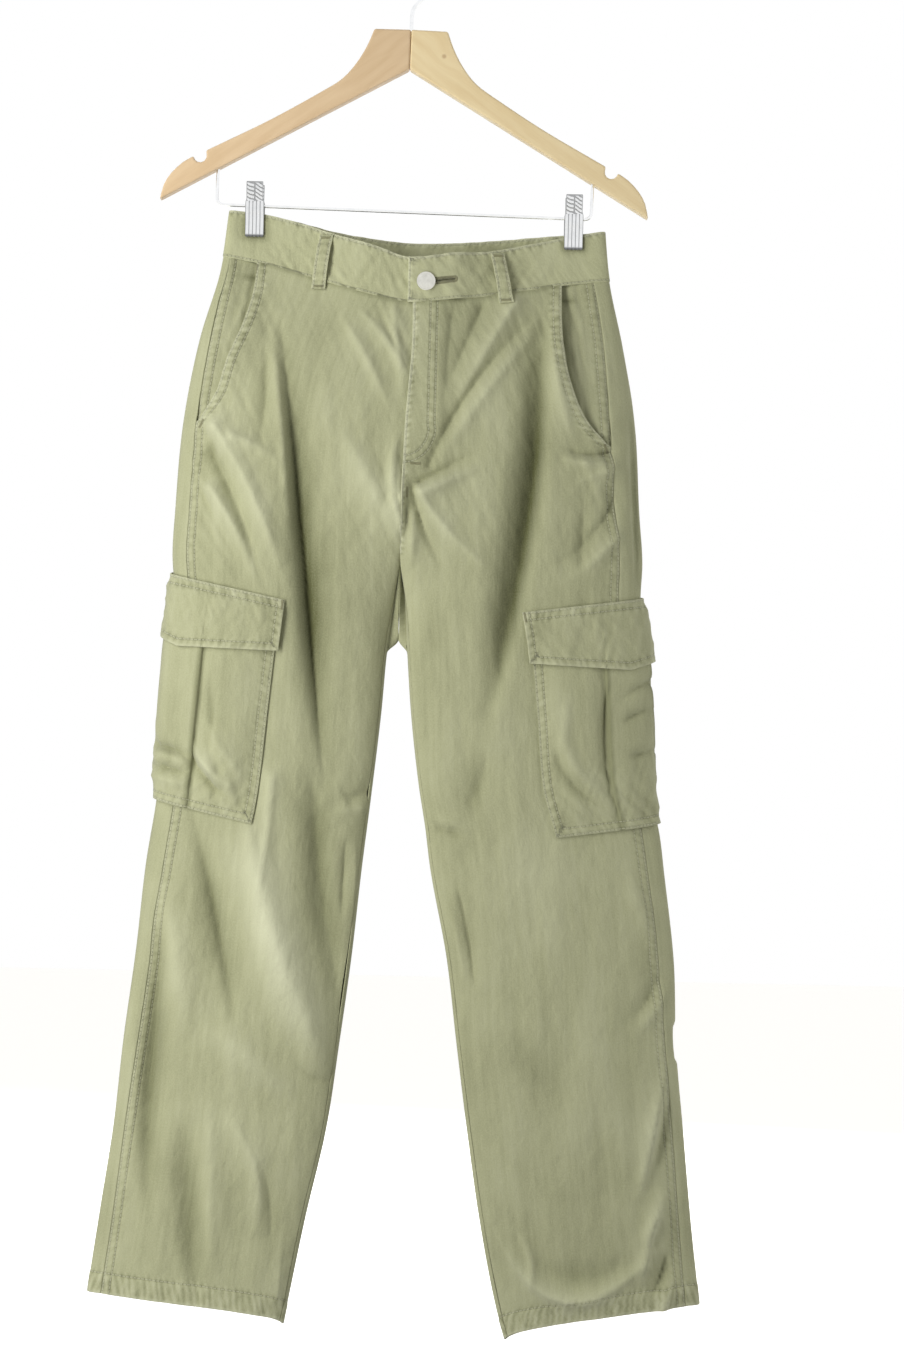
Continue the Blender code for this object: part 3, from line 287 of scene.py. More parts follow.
legCreases = (
    (-55, -775, -24, -771, -1, 6, 7, -3.4, "low"), (-58, -788, -23, -782, -2, 4, 4, 3.2, "low"),
    (-150, -780, -60, -1045, -9, 22, 20, 6.4), (-190, -790, -146, -985, 2, 10, 11, -4.2),
    (-84, -745, -42, -1005, -6, 15, 14, -5.0), (-116, -760, -128, -875, 2, 8, 8, 3.0, "top"),
    (-212, -850, -190, -1000, 0, 13, 14, 2.6), (-214, -875, -222, -1160, -7, 11, 13, -4.8),
    (-196, -1060, -176, -1245, 0, 13, 14, -3.0),
    (-47, -810, -49, -890, 1, 4, 5, -3.0), (-39, -810, -42, -900, 2, 4, 5, 2.0),
    (-87, -1019, -59, -1035, -3, 4, 4, -2.2, "low"),
    (-158, -1060, -125, -1175, 17, 10, 12, 2.6), (-123, -1103, -110, -1188, 6, 8, 9, -2.2),
    (-180, -983, -94, -1052, 4, 16, 14, 2.2), (-169, -1047, -167, -1220, 3, 10, 10, 2.0),
    (-98, -1166, -103, -1231, 0, 8, 8, 2.4, "low"), (-226, -849, -227, -927, 4, 7, 7, 2.4),
    (38, -804, 63, -812, 1, 4, 5, -2.6, "top"), (40, -794, 69, -803, 0, 6, 5, 2.0, "top"),
    (54, -850, 74, -950, 2, 3, 4, -2.6), (49, -868, 65, -942, 1, 4, 4, 1.8),
    (85, -700, 170, -968, -16, 28, 34, 1.2), (75, -728, 51, -789, 8, 10, 12, -2.4),
    (249, -1010, 225, -1140, -1, 6, 4, 3.6), (256, -1027, 241, -1110, 0, 5, 5, -2.0),
    (85, -1141, 255, -1164, -76, 7, 9, 3.6), (101, -1141, 237, -1173, -52, 14, 13, -1.7),
    (112, -1162, 129, -1221, 9, 4, 4, 2.4), (211, -978, 239, -937, -2, 6, 6, -2.4, "low"),
    (216, -989, 245, -949, -2, 6, 6, 2.2, "low"), (209, -839, 233, -913, 1, 7, 7, 2.2),
    (160, -955, 214, -1103, 0, 16, 14, 1.1), (109, -984, 164, -1054, -11, 14, 14, -1.1),
    (247, -1123, 227, -1174, 4, 6, 7, 2.4), (243, -1140, 231, -1216, -3, 5, 4, 3.2),
    (252, -1180, 238, -1224, 4, 5, 4, -2.8), (258, -1200, 247, -1240, 2, 5, 4, 2.8, "low"))
backCreases = (
    (-105, -330, -95, -640, 0, 16, 15, -6.5), (100, -330, 112, -640, 1, 15, 16, -5.5),
    (-6, -345, -124, -700, 10, 15, 13, 3.8), (10, -350, 134, -720, -9, 14, 15, 3.8),
    (-3, -560, -120, -720, -5, 8, 9, -3.0, "top"), (2, -560, 126, -700, 4, 8, 8, -3.2, "top"),
    (-14, -600, -98, -690, -3, 7, 8, 2.6, "top"), (12, -602, 94, -676, 3, 7, 7, 2.6, "top"),
    (-150, -820, -100, -1100, 3, 16, 15, -4.6), (150, -830, 170, -1120, -4, 15, 16, -4.6),
    (-60, -760, -180, -790, -14, 7, 7, 2.6), (-52, -776, -150, -818, -6, 6, 6, -2.6),
    (52, -770, 196, -796, -12, 7, 7, 2.6), (58, -790, 160, -822, -6, 6, 6, -2.4),
    (-215, -1000, -190, -1240, 2, 14, 13, 3.6), (200, -1040, 240, -1240, -2, 13, 14, 3.6),
    (-140, -1120, -138, -1236, 4, 10, 10, -2.8), (150, -1140, 162, -1244, 3, 10, 10, -2.8))
edgeCreases = (  # these run on round the outer edge
    (201, -408, 213, -590, 3, 4, 4, -2.4), (254, -974, 257, -1013, 5, 4, 4, -2.2))
pocketCreases = (
    (-230, -729, -184, -741, 0, 4, 4, -2.2), (-222, -737, -184, -750, 0, 4, 4, 1.1),
    (-230, -749, -184, -757, 0, 4, 4, -2.2), (-222, -760, -186, -768, 0, 4, 4, 1.0),
    (-189, -733, -152, -778, -6, 5, 5, -2.6),
    (-185, -727, -146, -771, -6, 5, 6, 2.4),
    (-176, -700, -140, -760, -4, 7, 7, 1.4), (-172, -668, -171, -740, 3, 4, 5, -1.4),
    (191, -655, 191, -768, -7, 4, 4, -1.3), (139, -723, 190, -782, -10, 5, 6, -1.8),
    (147, -712, 182, -765, -8, 6, 6, 1.6), (195, -686, 232, -661, 3, 4, 4, -1.8, "low"),
    (199, -704, 224, -689, 1, 4, 4, -1.6), (205, -735, 228, -727, 0, 4, 4, -1.3),
    (150, -668, 143, -735, 2, 6, 6, 1.4))


# Crushed places: x, z, reach and height. They lie where seams gather the cloth.
crushed = ((-172, -460, 38, 2.6), (176, -470, 34, 2.2), (6, -505, 30, 2.6), (-185, -550, 34, 1.8),
           (190, -550, 32, 1.6), (-40, -780, 26, 1.6), (52, -805, 26, 1.6), (235, -1200, 36, 1.6),
           (-110, -345, 30, 1.4), (120, -345, 30, 1.4), (-12, -352, 26, 1.6))


def creaseLift(rows, x, z):
    x, z = np.broadcast_arrays(np.asarray(x, float), np.asarray(z, float))
    lift = np.zeros(x.shape)
    for row in rows:
        crease = dict(zip(creaseColumns, row))
        aside = 0.5 * crease["before"]  # the dark or light side shows, not the middle
        top = np.array([crease["topX"] + aside, crease["topZ"]], float)
        run = np.array([crease["lowX"] + aside, crease["lowZ"]], float) - top
        bow = np.array([-run[1], run[0]]) * crease["bow"] / np.hypot(*run)
        path = [top + run * t + bow * 4.0 * t * (1.0 - t) for t in np.linspace(0.0, 1.0, creaseSteps + 1)]
        reach = 3.0 * max(crease["before"], crease["after"])
        low, high = np.min(path, 0) - reach, np.max(path, 0) + reach
        near = (x > low[0]) & (x < high[0]) & (z > low[1]) & (z < high[1])
        at = np.stack([x[near], z[near]], -1)
        away, side, share = np.full(len(at), np.inf), np.zeros(len(at)), np.zeros(len(at))
        for i in range(creaseSteps):
            step = path[i + 1] - path[i]
            t = np.clip((at - path[i]) @ step / (step @ step), 0.0, 1.0)
            off = at - path[i] - t[:, None] * step
            gap = np.hypot(off[:, 0], off[:, 1])
            closer = gap < away
            away = np.where(closer, gap, away)
            side = np.where(closer, step[0] * off[:, 1] - step[1] * off[:, 0], side)
            share = np.where(closer, (i + t) / creaseSteps, share)
        if "open" in crease:
            share = 0.5 * (1.0 - share if crease["open"] == "top" else share)
        full = np.sin(math.pi * share)
        width = np.where(side > 0.0, crease["after"], crease["before"]) * mix(hung["tip"], 1.0, full)
        sharp = hung["crisp" if crease["before"] < hung["narrow"] else "soft"]
        lift[near] += hung["creaseGain"] * crease["rise"] * full * np.exp(-(away / width) ** sharp)
    return lift


def creases(leg, face, off, x, z):  # all folds at a place, faded at the edges
    inFront = face == "front"
    if inFront:
        lift = creaseLift(hipCreases + legCreases, x, z)
    else:
        lift = hung["backGain"] * creaseLift(backCreases, x, z)
    seed = 3 if inFront else 4
    swell = hung["broadWave"] * waves(x, z, 46.0, seed) + hung["smallWave"] * waves(x, z, 19.0, seed + 8)
    lift = lift + swell * mix(0.5, 1.0, ramp(z, -330.0, -420.0))
    if inFront:
        for spotX, spotZ, reach, height in crushed:
            near = np.exp(-np.hypot(x - spotX, z - spotZ) / reach)
            lift = lift + height * crumple(x, z, hung["crumple"], 60) * near
    lift = lift * np.clip(off / 25.0, 0.0, 1.0) * nearInner(leg, face, off, z)
    return lift + creaseLift(edgeCreases, x, z) * ramp(off, 60.0, 30.0)


def laid(leg, along, z, lift):  # points moved out from the creased cloth
    along, z = np.broadcast_arrays(np.asarray(along, float), np.asarray(z, float))
    base, out = skin(leg, along, z), outward(leg, along, z)
    x = base[..., 0]
    off = offAt(leg, x, z)
    fold = np.where(along < 0.0, creases(leg, "front", off, x, z), creases(leg, "back", off, x, z))
    return base + out * (fold + lift)[..., None], out


def onBody(face, x, z, lift):  # the same by x, above the fork, on either leg
    x, z, lift = np.broadcast_arrays(np.asarray(x, float), np.asarray(z, float), np.asarray(lift, float))
    both = []
    for leg in legs.values():
        off = np.maximum(offAt(leg, x, z), 0.0)
        both.append(laid(leg, faceSide[face] * girth(leg, face, off, z), z, lift))
    right = (x <= 0.0)[..., None]
    return tuple(np.where(right, first, second) for first, second in zip(*both))


# Meshes for cloth: a thin wall on a grid of points, with soft edges.
fineEdge = (0.0, 0.35, 0.9, 1.8)  # columns this far in from a cut or folded edge
edgeWall = (0.45, 0.85, 1.0, 1.0)  # share of the wall's thickness there
far, further = 60.0, 99.0  # distances beyond the reach of any sewing


def shares(width, count, softStart=True):  # from 0 to 1 in count steps, finer at soft edges
    width = np.atleast_1d(np.asarray(width, float))[:, None]
    start = np.array(fineEdge if softStart else (0.0,)) / width
    end = 1.0 - np.array(fineEdge)[::-1] / width
    middle = np.linspace(0.0, 1.0, count + 1)[None, 1:-1]
    return np.concatenate([start, mix(start[:, -1:], end[:, :1], middle), end], 1)


def rowShares(length, count, softStart=True):
    return shares(length, count, softStart)[0][:, None]


def fromEnds(run):  # down the columns, from the nearer end
    return np.minimum(run, run[-1:] - run)


def fromSides(run):
    return np.minimum(run, run[:, -1:] - run)


def softWall(points, thick, top=True):  # thinner at the foot, both sides and maybe the top
    wall = np.ones(points.shape[:2])
    for number, share in enumerate(edgeWall):
        for line in (wall[-1 - number], wall[:, number], wall[:, -1 - number]):
            np.minimum(line, share, out=line)
        if top:
            np.minimum(wall[number], share, out=wall[number])
    return wall * thick


def panelWall(points, toFoot):  # the hem is doubled
    hem = ramp(toFoot, front["hem"] + 1.0, front["hem"] - 1.0)
    return mix(front["wall"], front["hemWall"], hem) * softWall(points, 1.0, top=False)


def distances(points):  # along the rows and down the columns, on the cloth
    across = np.linalg.norm(np.diff(points, axis=1), axis=-1)
    down = np.linalg.norm(np.diff(points, axis=0), axis=-1)
    return (np.concatenate([np.zeros((len(points), 1)), np.cumsum(across, 1)], 1),
            np.concatenate([np.zeros((1, points.shape[1])), np.cumsum(down, 0)], 0))


def shell(name, points, out, wall, material, seams, keep=None, place=None):
    rows, columns = points.shape[:2]
    wall = np.broadcast_to(np.asarray(wall, float), (rows, columns))
    index = np.arange(rows * columns).reshape(rows, columns)
    quads = np.stack([index[:-1, :-1], index[1:, :-1], index[1:, 1:], index[:-1, 1:]], -1)
    quads = quads[keep] if keep is not None else quads.reshape(-1, 4)
    flat = points.reshape(-1, 3)
    facing = np.cross(flat[quads[:, 2]] - flat[quads[:, 0]], flat[quads[:, 3]] - flat[quads[:, 1]])
    if (facing * out.reshape(-1, 3)[quads[:, 0]]).sum() < 0.0:
        quads, facing = quads[:, ::-1], -facing
    normal = np.zeros_like(flat)
    for corner in range(4):
        np.add.at(normal, quads[:, corner], facing)
    area = 0.5 * np.linalg.norm(facing, axis=1).sum() * 1e-6
    used, quads = np.unique(quads, return_inverse=True)
    quads = quads.reshape(-1, 4)
    count = len(used)
    half = 0.5 * unit(normal[used]) * wall.reshape(-1)[used, None]
    middle = flat[used]
    start, end = quads.reshape(-1), np.roll(quads, -1, 1).reshape(-1)
    rim = ~np.isin(start * count + end, end * count + start)
    start, end = start[rim], end[rim]
    faces = np.concatenate([quads, quads[:, ::-1] + count,
                            np.stack([end, start, start + count, end + count], -1)])
    mesh = bpy.data.meshes.new(name)
    mesh.from_pydata((np.concatenate([middle + half, middle - half]) * 0.001).tolist(), [], faces.tolist())
    across, down = place or distances(points)
    layer = mesh.uv_layers.new(name="cloth")
    corners = np.empty(len(mesh.loops), int)
    mesh.loops.foreach_get("vertex_index", corners)
    place = (np.stack([across, down], -1).reshape(-1, 2)[used] * 0.001)[corners % count]
    layer.data.foreach_set("uv", place.reshape(-1))
    for seam, parts in seams.items():  # away from it, along it, and its strength
        parts = [np.broadcast_to(part, (rows, columns)).reshape(-1)[used] for part in (*parts, 1.0)[:3]]
        field = mesh.attributes.new(name=seam, type="FLOAT_VECTOR", domain="POINT")
        field.data.foreach_set("vector", np.tile(np.stack(parts, -1), (2, 1)).reshape(-1))
    mesh.materials.append(material)
    mesh.shade_smooth()
    print(f"{name}: {2 * len(faces)} triangles, {area:.4f} square metres of cloth")
    return addObject(name, mesh)


# Shader maths: one class wraps a value in a material's node tree.
class Signal:
    def __init__(self, tree, socket=None):
        self.tree, self.socket = tree, socket

    def node(self, kind, settings=None, values=None, out=0):
        made = self.tree.nodes.new(kind)
        for name, value in (settings or {}).items():
            setattr(made, name, value)
        for name, value in (values or {}).items():
            if isinstance(value, Signal):
                self.tree.links.new(value.socket, made.inputs[name])
            else:
                made.inputs[name].default_value = value
        return Signal(self.tree, made.outputs[out])

    def maths(self, operation, *values):
        return self.node("ShaderNodeMath", {"operation": operation}, dict(enumerate(values)))

    def __add__(self, other):
        return self.maths("ADD", self, other)

    def __mul__(self, other):
        return self.maths("MULTIPLY", self, other)

    def __sub__(self, other):
        return self.maths("SUBTRACT", self, other)

    def __rsub__(self, other):
        return self.maths("SUBTRACT", other, self)

    def __truediv__(self, other):
        return self.maths("DIVIDE", self, other)

    def __abs__(self):
        return self.maths("ABSOLUTE", self)

    __radd__, __rmul__ = __add__, __mul__

    def sine(self):
        return self.maths("SINE", self)

    def fraction(self):
        return self.maths("FRACT", self)

    def most(self, other):  # the larger of two values
        return self.maths("MAXIMUM", self, other)

    def span(self, start, end, kind="LINEAR"):  # from 0 at start to 1 at end
        return self.node("ShaderNodeMapRange", {"interpolation_type": kind},
                         {"Value": self, "From Min": start, "From Max": end})

    def step(self, start, end):
        return self.span(start, end, "SMOOTHSTEP")

    def parts(self):
        made = self.tree.nodes.new("ShaderNodeSeparateXYZ")
        self.tree.links.new(self.socket, made.inputs[0])
        return [Signal(self.tree, socket) for socket in made.outputs]

    def place(self):  # object coordinates
        return self.node("ShaderNodeTexCoord", out="Object").parts()

    def field(self, name):  # what a mesh attribute holds
        return self.node("ShaderNodeAttribute", {"attribute_name": name}, out="Vector").parts()

    def noise(self, x, y, z, detail=2.0, roughness=0.5):
        place = self.node("ShaderNodeCombineXYZ", None, {0: x, 1: y, 2: z})
        return self.node("ShaderNodeTexNoise", None, {"Vector": place, "Scale": 1.0, "Detail": detail,
                                                      "Roughness": roughness})

    def between(self, first, second):  # two colours, mixed by this value
        return self.node("ShaderNodeMix", {"data_type": "RGBA"}, {0: self, 6: first, 7: second}, out=2)


def paint(red, green, blue):  # linear colour from the usual 0 to 255 values
    return tuple(((c / 255.0 + 0.055) / 1.055) ** 2.4 for c in (red, green, blue)) + (1.0,)


def startMaterial(name):
    material = bpy.data.materials.new(name)
    material.use_nodes = True
    tree = material.node_tree
    return material, Signal(tree), tree.nodes["Principled BSDF"]


def connect(bench, shader, colour, roughness, height):
    bump = bench.node("ShaderNodeBump", None, {"Height": height, "Distance": 0.001, "Strength": 1.0})
    for name, value in (("Base Color", colour), ("Roughness", roughness), ("Normal", bump)):
        bench.tree.links.new(value.socket, shader.inputs[name])


# shadeColour is painted shade: fold troughs, pucker valleys, stitch grooves, needle holes and places under or
# between parts go towards it.
# wearAndHighlight is the pale colour of worn edges, and painted highlight on fold ridges, pucker crests and
# lit edges.
twillLook = {
    "cloth": paint(181, 182, 144), "wearAndHighlight": paint(217, 218, 184), "shadeColour": paint(96, 98, 62),
    "thread": paint(204, 204, 172), "tack": paint(138, 134, 99),
    "rib": 0.95, "ribHeight": 0.035, "slubHeight": 0.12, "stitch": 3.5, "threadHalf": 0.5,
    "threadHeight": 0.30, "hole": 0.22, "sink": 0.45, "foldShading": 0.058, "puckerShading": 0.58,
    "grooveShade": 0.5, "holeShade": 0.4, "edgeCover": 0.5, "threadCover": 0.6,
}
puckers = {"slant": 0.3, "drift": 13.0, "even": 0.3, "uneven": 2.3}  # ripples that stitches pull up
# Unevenness of the cloth: size across and along, offset, detail, roughness, height and tone.
clothNoise = ((9.0, 16.0, 5.0, 3.0, 0.5, 1.3, 0.0), (17.0, 26.0, 9.0, 2.0, 0.5, 1.5, 0.0),
              (60.0, 110.0, 8.0, 3.0, 0.55, 0.0, 0.9), (4.5, 120.0, 2.0, 3.0, 0.6, 0.0, 0.4),
              (1.1, 1.6, 4.0, 2.0, 0.5, 0.0, 0.5))

# rows: stitches, by distance from the edge. raised: how far the turned allowance lifts the cloth.
# pucker: height of the ripples that the stitches pull, and period between them. edge: its look, a pale edge
# of wear and painted highlight, or a line of painted shadow.
seamKinds = {
    "felled": {"rows": (1.4, 7.8), "raised": 0.5, "pucker": 1.0, "period": 7.6, "edge": "wearAndHighlight"},
    "single": {"rows": (1.8,), "raised": 0.0, "pucker": 0.5, "period": 6.6, "edge": "wearAndHighlight"},
    "curve": {"rows": (0.0, 6.0), "raised": 0.0, "pucker": 0.5, "period": 8.0, "edge": ""},
    "hem": {"rows": (19.0,), "raised": 0.4, "pucker": 0.45, "period": 6.2, "edge": "wearAndHighlight"},
    "flap": {"rows": (6.5,), "raised": 0.4, "pucker": 0.7, "period": 7.0, "edge": "wearAndHighlight"},
    "fold": {"rows": (), "edge": "wearAndHighlight"},
    "pleat": {"rows": (), "edge": "paintedShadow"},
}


def seamWork(bench, name, kind):  # height, painted shade and highlight of the puckers and stitch grooves, thread and edge of a seam
    look = twillLook
    away, along, strength = bench.field(name)
    edge = away.step(4.2, 0.2) * away.step(-3.0, -1.0) * strength
    # a pleat's edge gets a line of painted shadow
    if kind["edge"] == "paintedShadow":
        edge = abs(away).step(5.5, 0.2)
    if not kind["rows"]:
        return None, None, None, edge
    last = kind["rows"][-1]
    drift = bench.noise(along / 23.0, away / 60.0, 3.7)
    turns = along * (2.0 * math.pi / kind["period"]) + away * puckers["slant"] + drift * puckers["drift"]
    uneven = bench.noise(along / 6.0, away / 13.0, 1.3, 3.0) - 0.5
    ripple = turns.sine() * puckers["even"] + uneven * puckers["uneven"]
    # the puckers, also painted: shade in their valleys, highlight on their crests
    shadedPucker = ripple * away.step(last + 6.0, last - 0.5) * away.step(-4.0, 2.5) * strength
    height = shadedPucker * (0.5 * kind["pucker"]) + away.step(last + 1.6, last - 0.4) * kind["raised"]
    thread = None
    for row in kind["rows"]:
        across = abs(away - row)
        dash = abs((along / look["stitch"] + 0.37 * row).fraction() - 0.5)
        stitch = across.step(look["threadHalf"] + 0.12, look["threadHalf"] - 0.16) * dash.step(0.43, 0.36)
        hole = across.step(0.9, 0.2) * dash.step(0.40, 0.47)
        height = (height - across.step(2.1, 0.1) * look["sink"] + stitch * look["threadHeight"]
                  - hole * look["hole"])
        # painted shade along each stitch groove and in each needle hole
        shadedPucker = shadedPucker - across.step(1.9, 0.2) * look["grooveShade"] - hole * look["holeShade"]
        thread = larger(thread, stitch)
    return height, shadedPucker, thread, edge


def larger(first, second):
    return second if first is None else first.most(second)


def satin(height, colour, mask, along, look):  # close stitches over a bar or ring
    cords = (along * (2.0 * math.pi / look["pitch"])).sine() * look["cord"]
    height = height + mask * (look["raised"] + cords)
    return height, (mask * look["cover"]).between(colour, twillLook["tack"])


bars = {"half": 5.2, "pitch": 0.8, "raised": 0.5, "cord": 0.15, "cover": 0.7}  # bar tacks
rings = {"reach": 3.0, "pitch": 0.75, "raised": 0.45, "cord": 0.18, "cover": 0.75}  # buttonhole


def twill(name, seams, tacks=False, buttonhole=False, tone=1.0):
    material, bench, shader = startMaterial(name)
    look = twillLook
    u, v, _ = bench.node("ShaderNodeUVMap", {"uv_map": "cloth"}).parts()
    u, v = u * 1000.0, v * 1000.0
    slub = bench.noise(u / 0.9, v / 7.0, 0.0, 3.0, 0.6)
    height = ((u + v) * (2.0 * math.pi / look["rib"])).sine() * look["ribHeight"]
    height = height + (slub - 0.5) * look["slubHeight"]
    # Painted shade and highlight: the shade field (folds, and shadows under the band, at the fork, round the
    # clips and in the pocket mouths) darkens troughs and pales ridges.
    light = bench.field("shade")[0] * look["foldShading"]
    for across, along, offset, detail, roughness, bump, shade in clothNoise:
        uneven = bench.noise(u / across, v / along, offset, detail, roughness) - 0.5
        height = height + uneven * bump if bump else height
        light = light + uneven * shade if shade else light
    wearAndHighlight, paintedShadow, thread = None, None, None
    for seam, kindName in seams.items():
        kind = seamKinds[kindName]
        more, shadedPucker, stitch, edge = seamWork(bench, seam, kind)
        if stitch is not None:
            height = height + more
            light = light + shadedPucker * look["puckerShading"]
            thread = larger(thread, stitch)
        if kind["edge"] == "wearAndHighlight":
            wearAndHighlight = larger(wearAndHighlight, edge * (0.45 + 0.9 * bench.noise(u / 4.0, v / 4.0, 6.0)))
        elif kind["edge"] == "paintedShadow":
            paintedShadow = larger(paintedShadow, edge)
    base = tuple(part * tone for part in look["cloth"][:3]) + (1.0,)
    # Below nought the light goes towards painted shade; above it, towards the pale colour of wear and painted
    # highlight.
    colour = light.span(0.0, -1.0).between(base, look["shadeColour"])
    colour = light.span(0.0, 1.0).between(colour, look["wearAndHighlight"])
    for mask, cover, over in ((wearAndHighlight, "edgeCover", "wearAndHighlight"), (paintedShadow, "edgeCover", "shadeColour"),
                              (thread, "threadCover", "thread")):
        if mask is not None:
            colour = (mask * look[cover]).between(colour, look[over])
    if tacks:
        along, across, _ = bench.field("tack")
        bar = abs(across).step(1.4, 0.7) * abs(along).step(bars["half"], 4.0)
        height, colour = satin(height, colour, bar, along, bars)
    if buttonhole:
        outside, around, _ = bench.field("buttonhole")
        height, colour = satin(height, colour, outside.step(rings["reach"], 2.4), around, rings)
    for socket, value in (("Sheen Weight", 0.3), ("Sheen Roughness", 0.5), ("Specular IOR Level", 0.2)):
        shader.inputs[socket].default_value = value
    connect(bench, shader, colour, 0.84 + 0.12 * slub, height)
    return material


panelSeams = {"outerSeam": "felled", "hem": "hem"}
frontTwill = twill("frontTwill", panelSeams, tacks=True)
lappedTwill = twill("lappedTwill", {**panelSeams, "flySeam": "single", "flyCurve": "curve"}, tacks=True)
backTwill = twill("backTwill", {"centreSeam": "felled", "wrapSeam": "fold", "hem": "hem"})
bandTwill = twill("bandTwill", {"bandEdge": "single"}, buttonhole=True, tone=1.1)
loopTwill = twill("loopTwill", {"loopEdge": "single"}, tacks=True, tone=1.06)
facingTwill = twill("facingTwill", {"facingSeam": "felled"}, tone=0.97)
insideTwill = twill("insideTwill", {"stripEdge": "single"}, tone=0.9)
zipCloth = twill("zipCloth", {"stripEdge": "single"}, tone=0.8)
pocketTwill = twill("pocketTwill", {"pocketEdge": "felled", "strip": "pleat"})
flapTwill = twill("flapTwill", {"flapEdge": "flap", "flapTop": "felled"}, tacks=True)


def standFor(piece, node):
    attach(piece, "root")
    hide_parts(node)


def declare(piece, node, area, slot="twill"):
    standFor(piece, node)


# Fronts: from the slant pocket edge and the side seam in to the fly, the crotch seam and the inseam.
front = {"wall": 1.2, "hemWall": 2.2, "hem": 19.0, "rowStep": 2.9, "bandRows": 12, "columns": 80,
         "seamGap": 0.3, "bandGap": -2.0, "flyUnder": 8.0, "flyFoot": -500.0, "flyLift": 2.9,
         "flyWidth": 30.0, "flyFade": 22.0, "gape": 5.0, "gapeWidth": 26.0, "gather": 0.75,
         "crotchGap": 0.6, "inseamGap": 0.5, "inseam": 6.5, "inseamStart": (-557.0, -620.0),
         "stitchX": 28.0, "stitchTurn": -440.0, "stitchFoot": -472.0, "flySeamEnd": (-552.0, -575.0),
         "bandShade": 6.0, "bandShadeReach": 2.6, "seamStrength": 0.4, "flat": (0.245, 0.965),
         "area": 0.196}
openFly = ((500, 503, 557), (0.0, 0.15, 0.25))  # depth below the hook, and half the gap there
crotchRow = 8.0  # the row of the tables where the legs part


def inseam(z):  # girth from a leg's inner edge to the inseam
    return 0.5 * front["inseamGap"] + front["inseam"] * ramp(z, *front["inseamStart"])


def rowNumbers(leg):  # fractional row numbers, close enough together
    table = np.array(leg["rows"], float)
    spans = np.abs(np.diff(table, axis=0)).max(1)
    numbers = [np.linspace(0.0, 1.0, front["bandRows"], endpoint=False)]
    for number, span in enumerate(spans, 1):
        count = max(2, int(round(span / front["rowStep"])))
        numbers.append(np.linspace(number, number + 1.0, count, endpoint=False))
    ends = len(table) - np.array(fineEdge)[::-1] / spans[-1]
    numbers = np.concatenate(numbers)
    return np.concatenate([numbers[numbers < ends[0] - 0.05], ends])


def rowHeights(leg, column, numbers, top):
    table = np.array(leg["rows"], float)[:, column]
    return np.interp(numbers, np.arange(len(table) + 1), np.concatenate([[top], table]))


def frontInnerX(leg, z, number):
    sign, inner = leg["sign"], size(leg, "inner", z)
    apart = np.interp(-z, *openFly)
    under = front["flyUnder"] * ramp(z, front["flyFoot"] - 6.0, front["flyFoot"] + 18.0) * (sign < 0)
    above = inner + sign * apart + under
    below = innerPoint(leg, "front", inseam(z) + 0.5 * front["inseamGap"], z)[..., 0]
    return mix(above, below, ramp(number, crotchRow, crotchRow + 1.0))


def slantOff(leg, z):  # from the outer edge in to the slant pocket edge
    return offAt(leg, slantX(leg, z), z)


def outerStart(leg, z):  # in to the slant edge, then to the side seam
    return np.where(z > leg["slant"][-1][0], slantOff(leg, z), size(leg, "seam", z) + 0.5 * front["seamGap"])


def flyStitch(x, z):  # away from the curved stitch beside the fly, and along
    turn, foot = front["stitchTurn"], front["stitchFoot"]
    height = turn - foot
    edge = size(legs["left"], "inner", z)
    low = np.clip((turn - z) / height, 0.0, 1.2)
    angle = np.arctan2(low, np.maximum((x - edge) / front["stitchX"], 1e-3))
    radius = np.hypot(x - edge, low * height)
    onCurve = np.hypot(front["stitchX"] * np.cos(angle), height * np.sin(angle))
    away = np.where(z > turn, x - front["stitchX"], radius - onCurve)
    along = np.where(z > turn, -z, -turn + angle * 30.0)
    return -away + far * ramp(-away, 14.0, 22.0), along


def tackField(x, z, tacks):  # place from the nearest bar tack, along and across
    best = np.full(x.shape, 12.0)
    field = [np.full(x.shape, further), np.full(x.shape, further)]
    for tackX, tackZ, degrees in tacks:
        cos, sin = math.cos(math.radians(degrees)), math.sin(math.radians(degrees))
        right, up = x - tackX, z - tackZ
        gap = np.hypot(right, up)
        field = [np.where(gap < best, new, old) for new, old in
                 zip((right * cos + up * sin, up * cos - right * sin), field)]
        best = np.minimum(best, gap)
    return tuple(field)


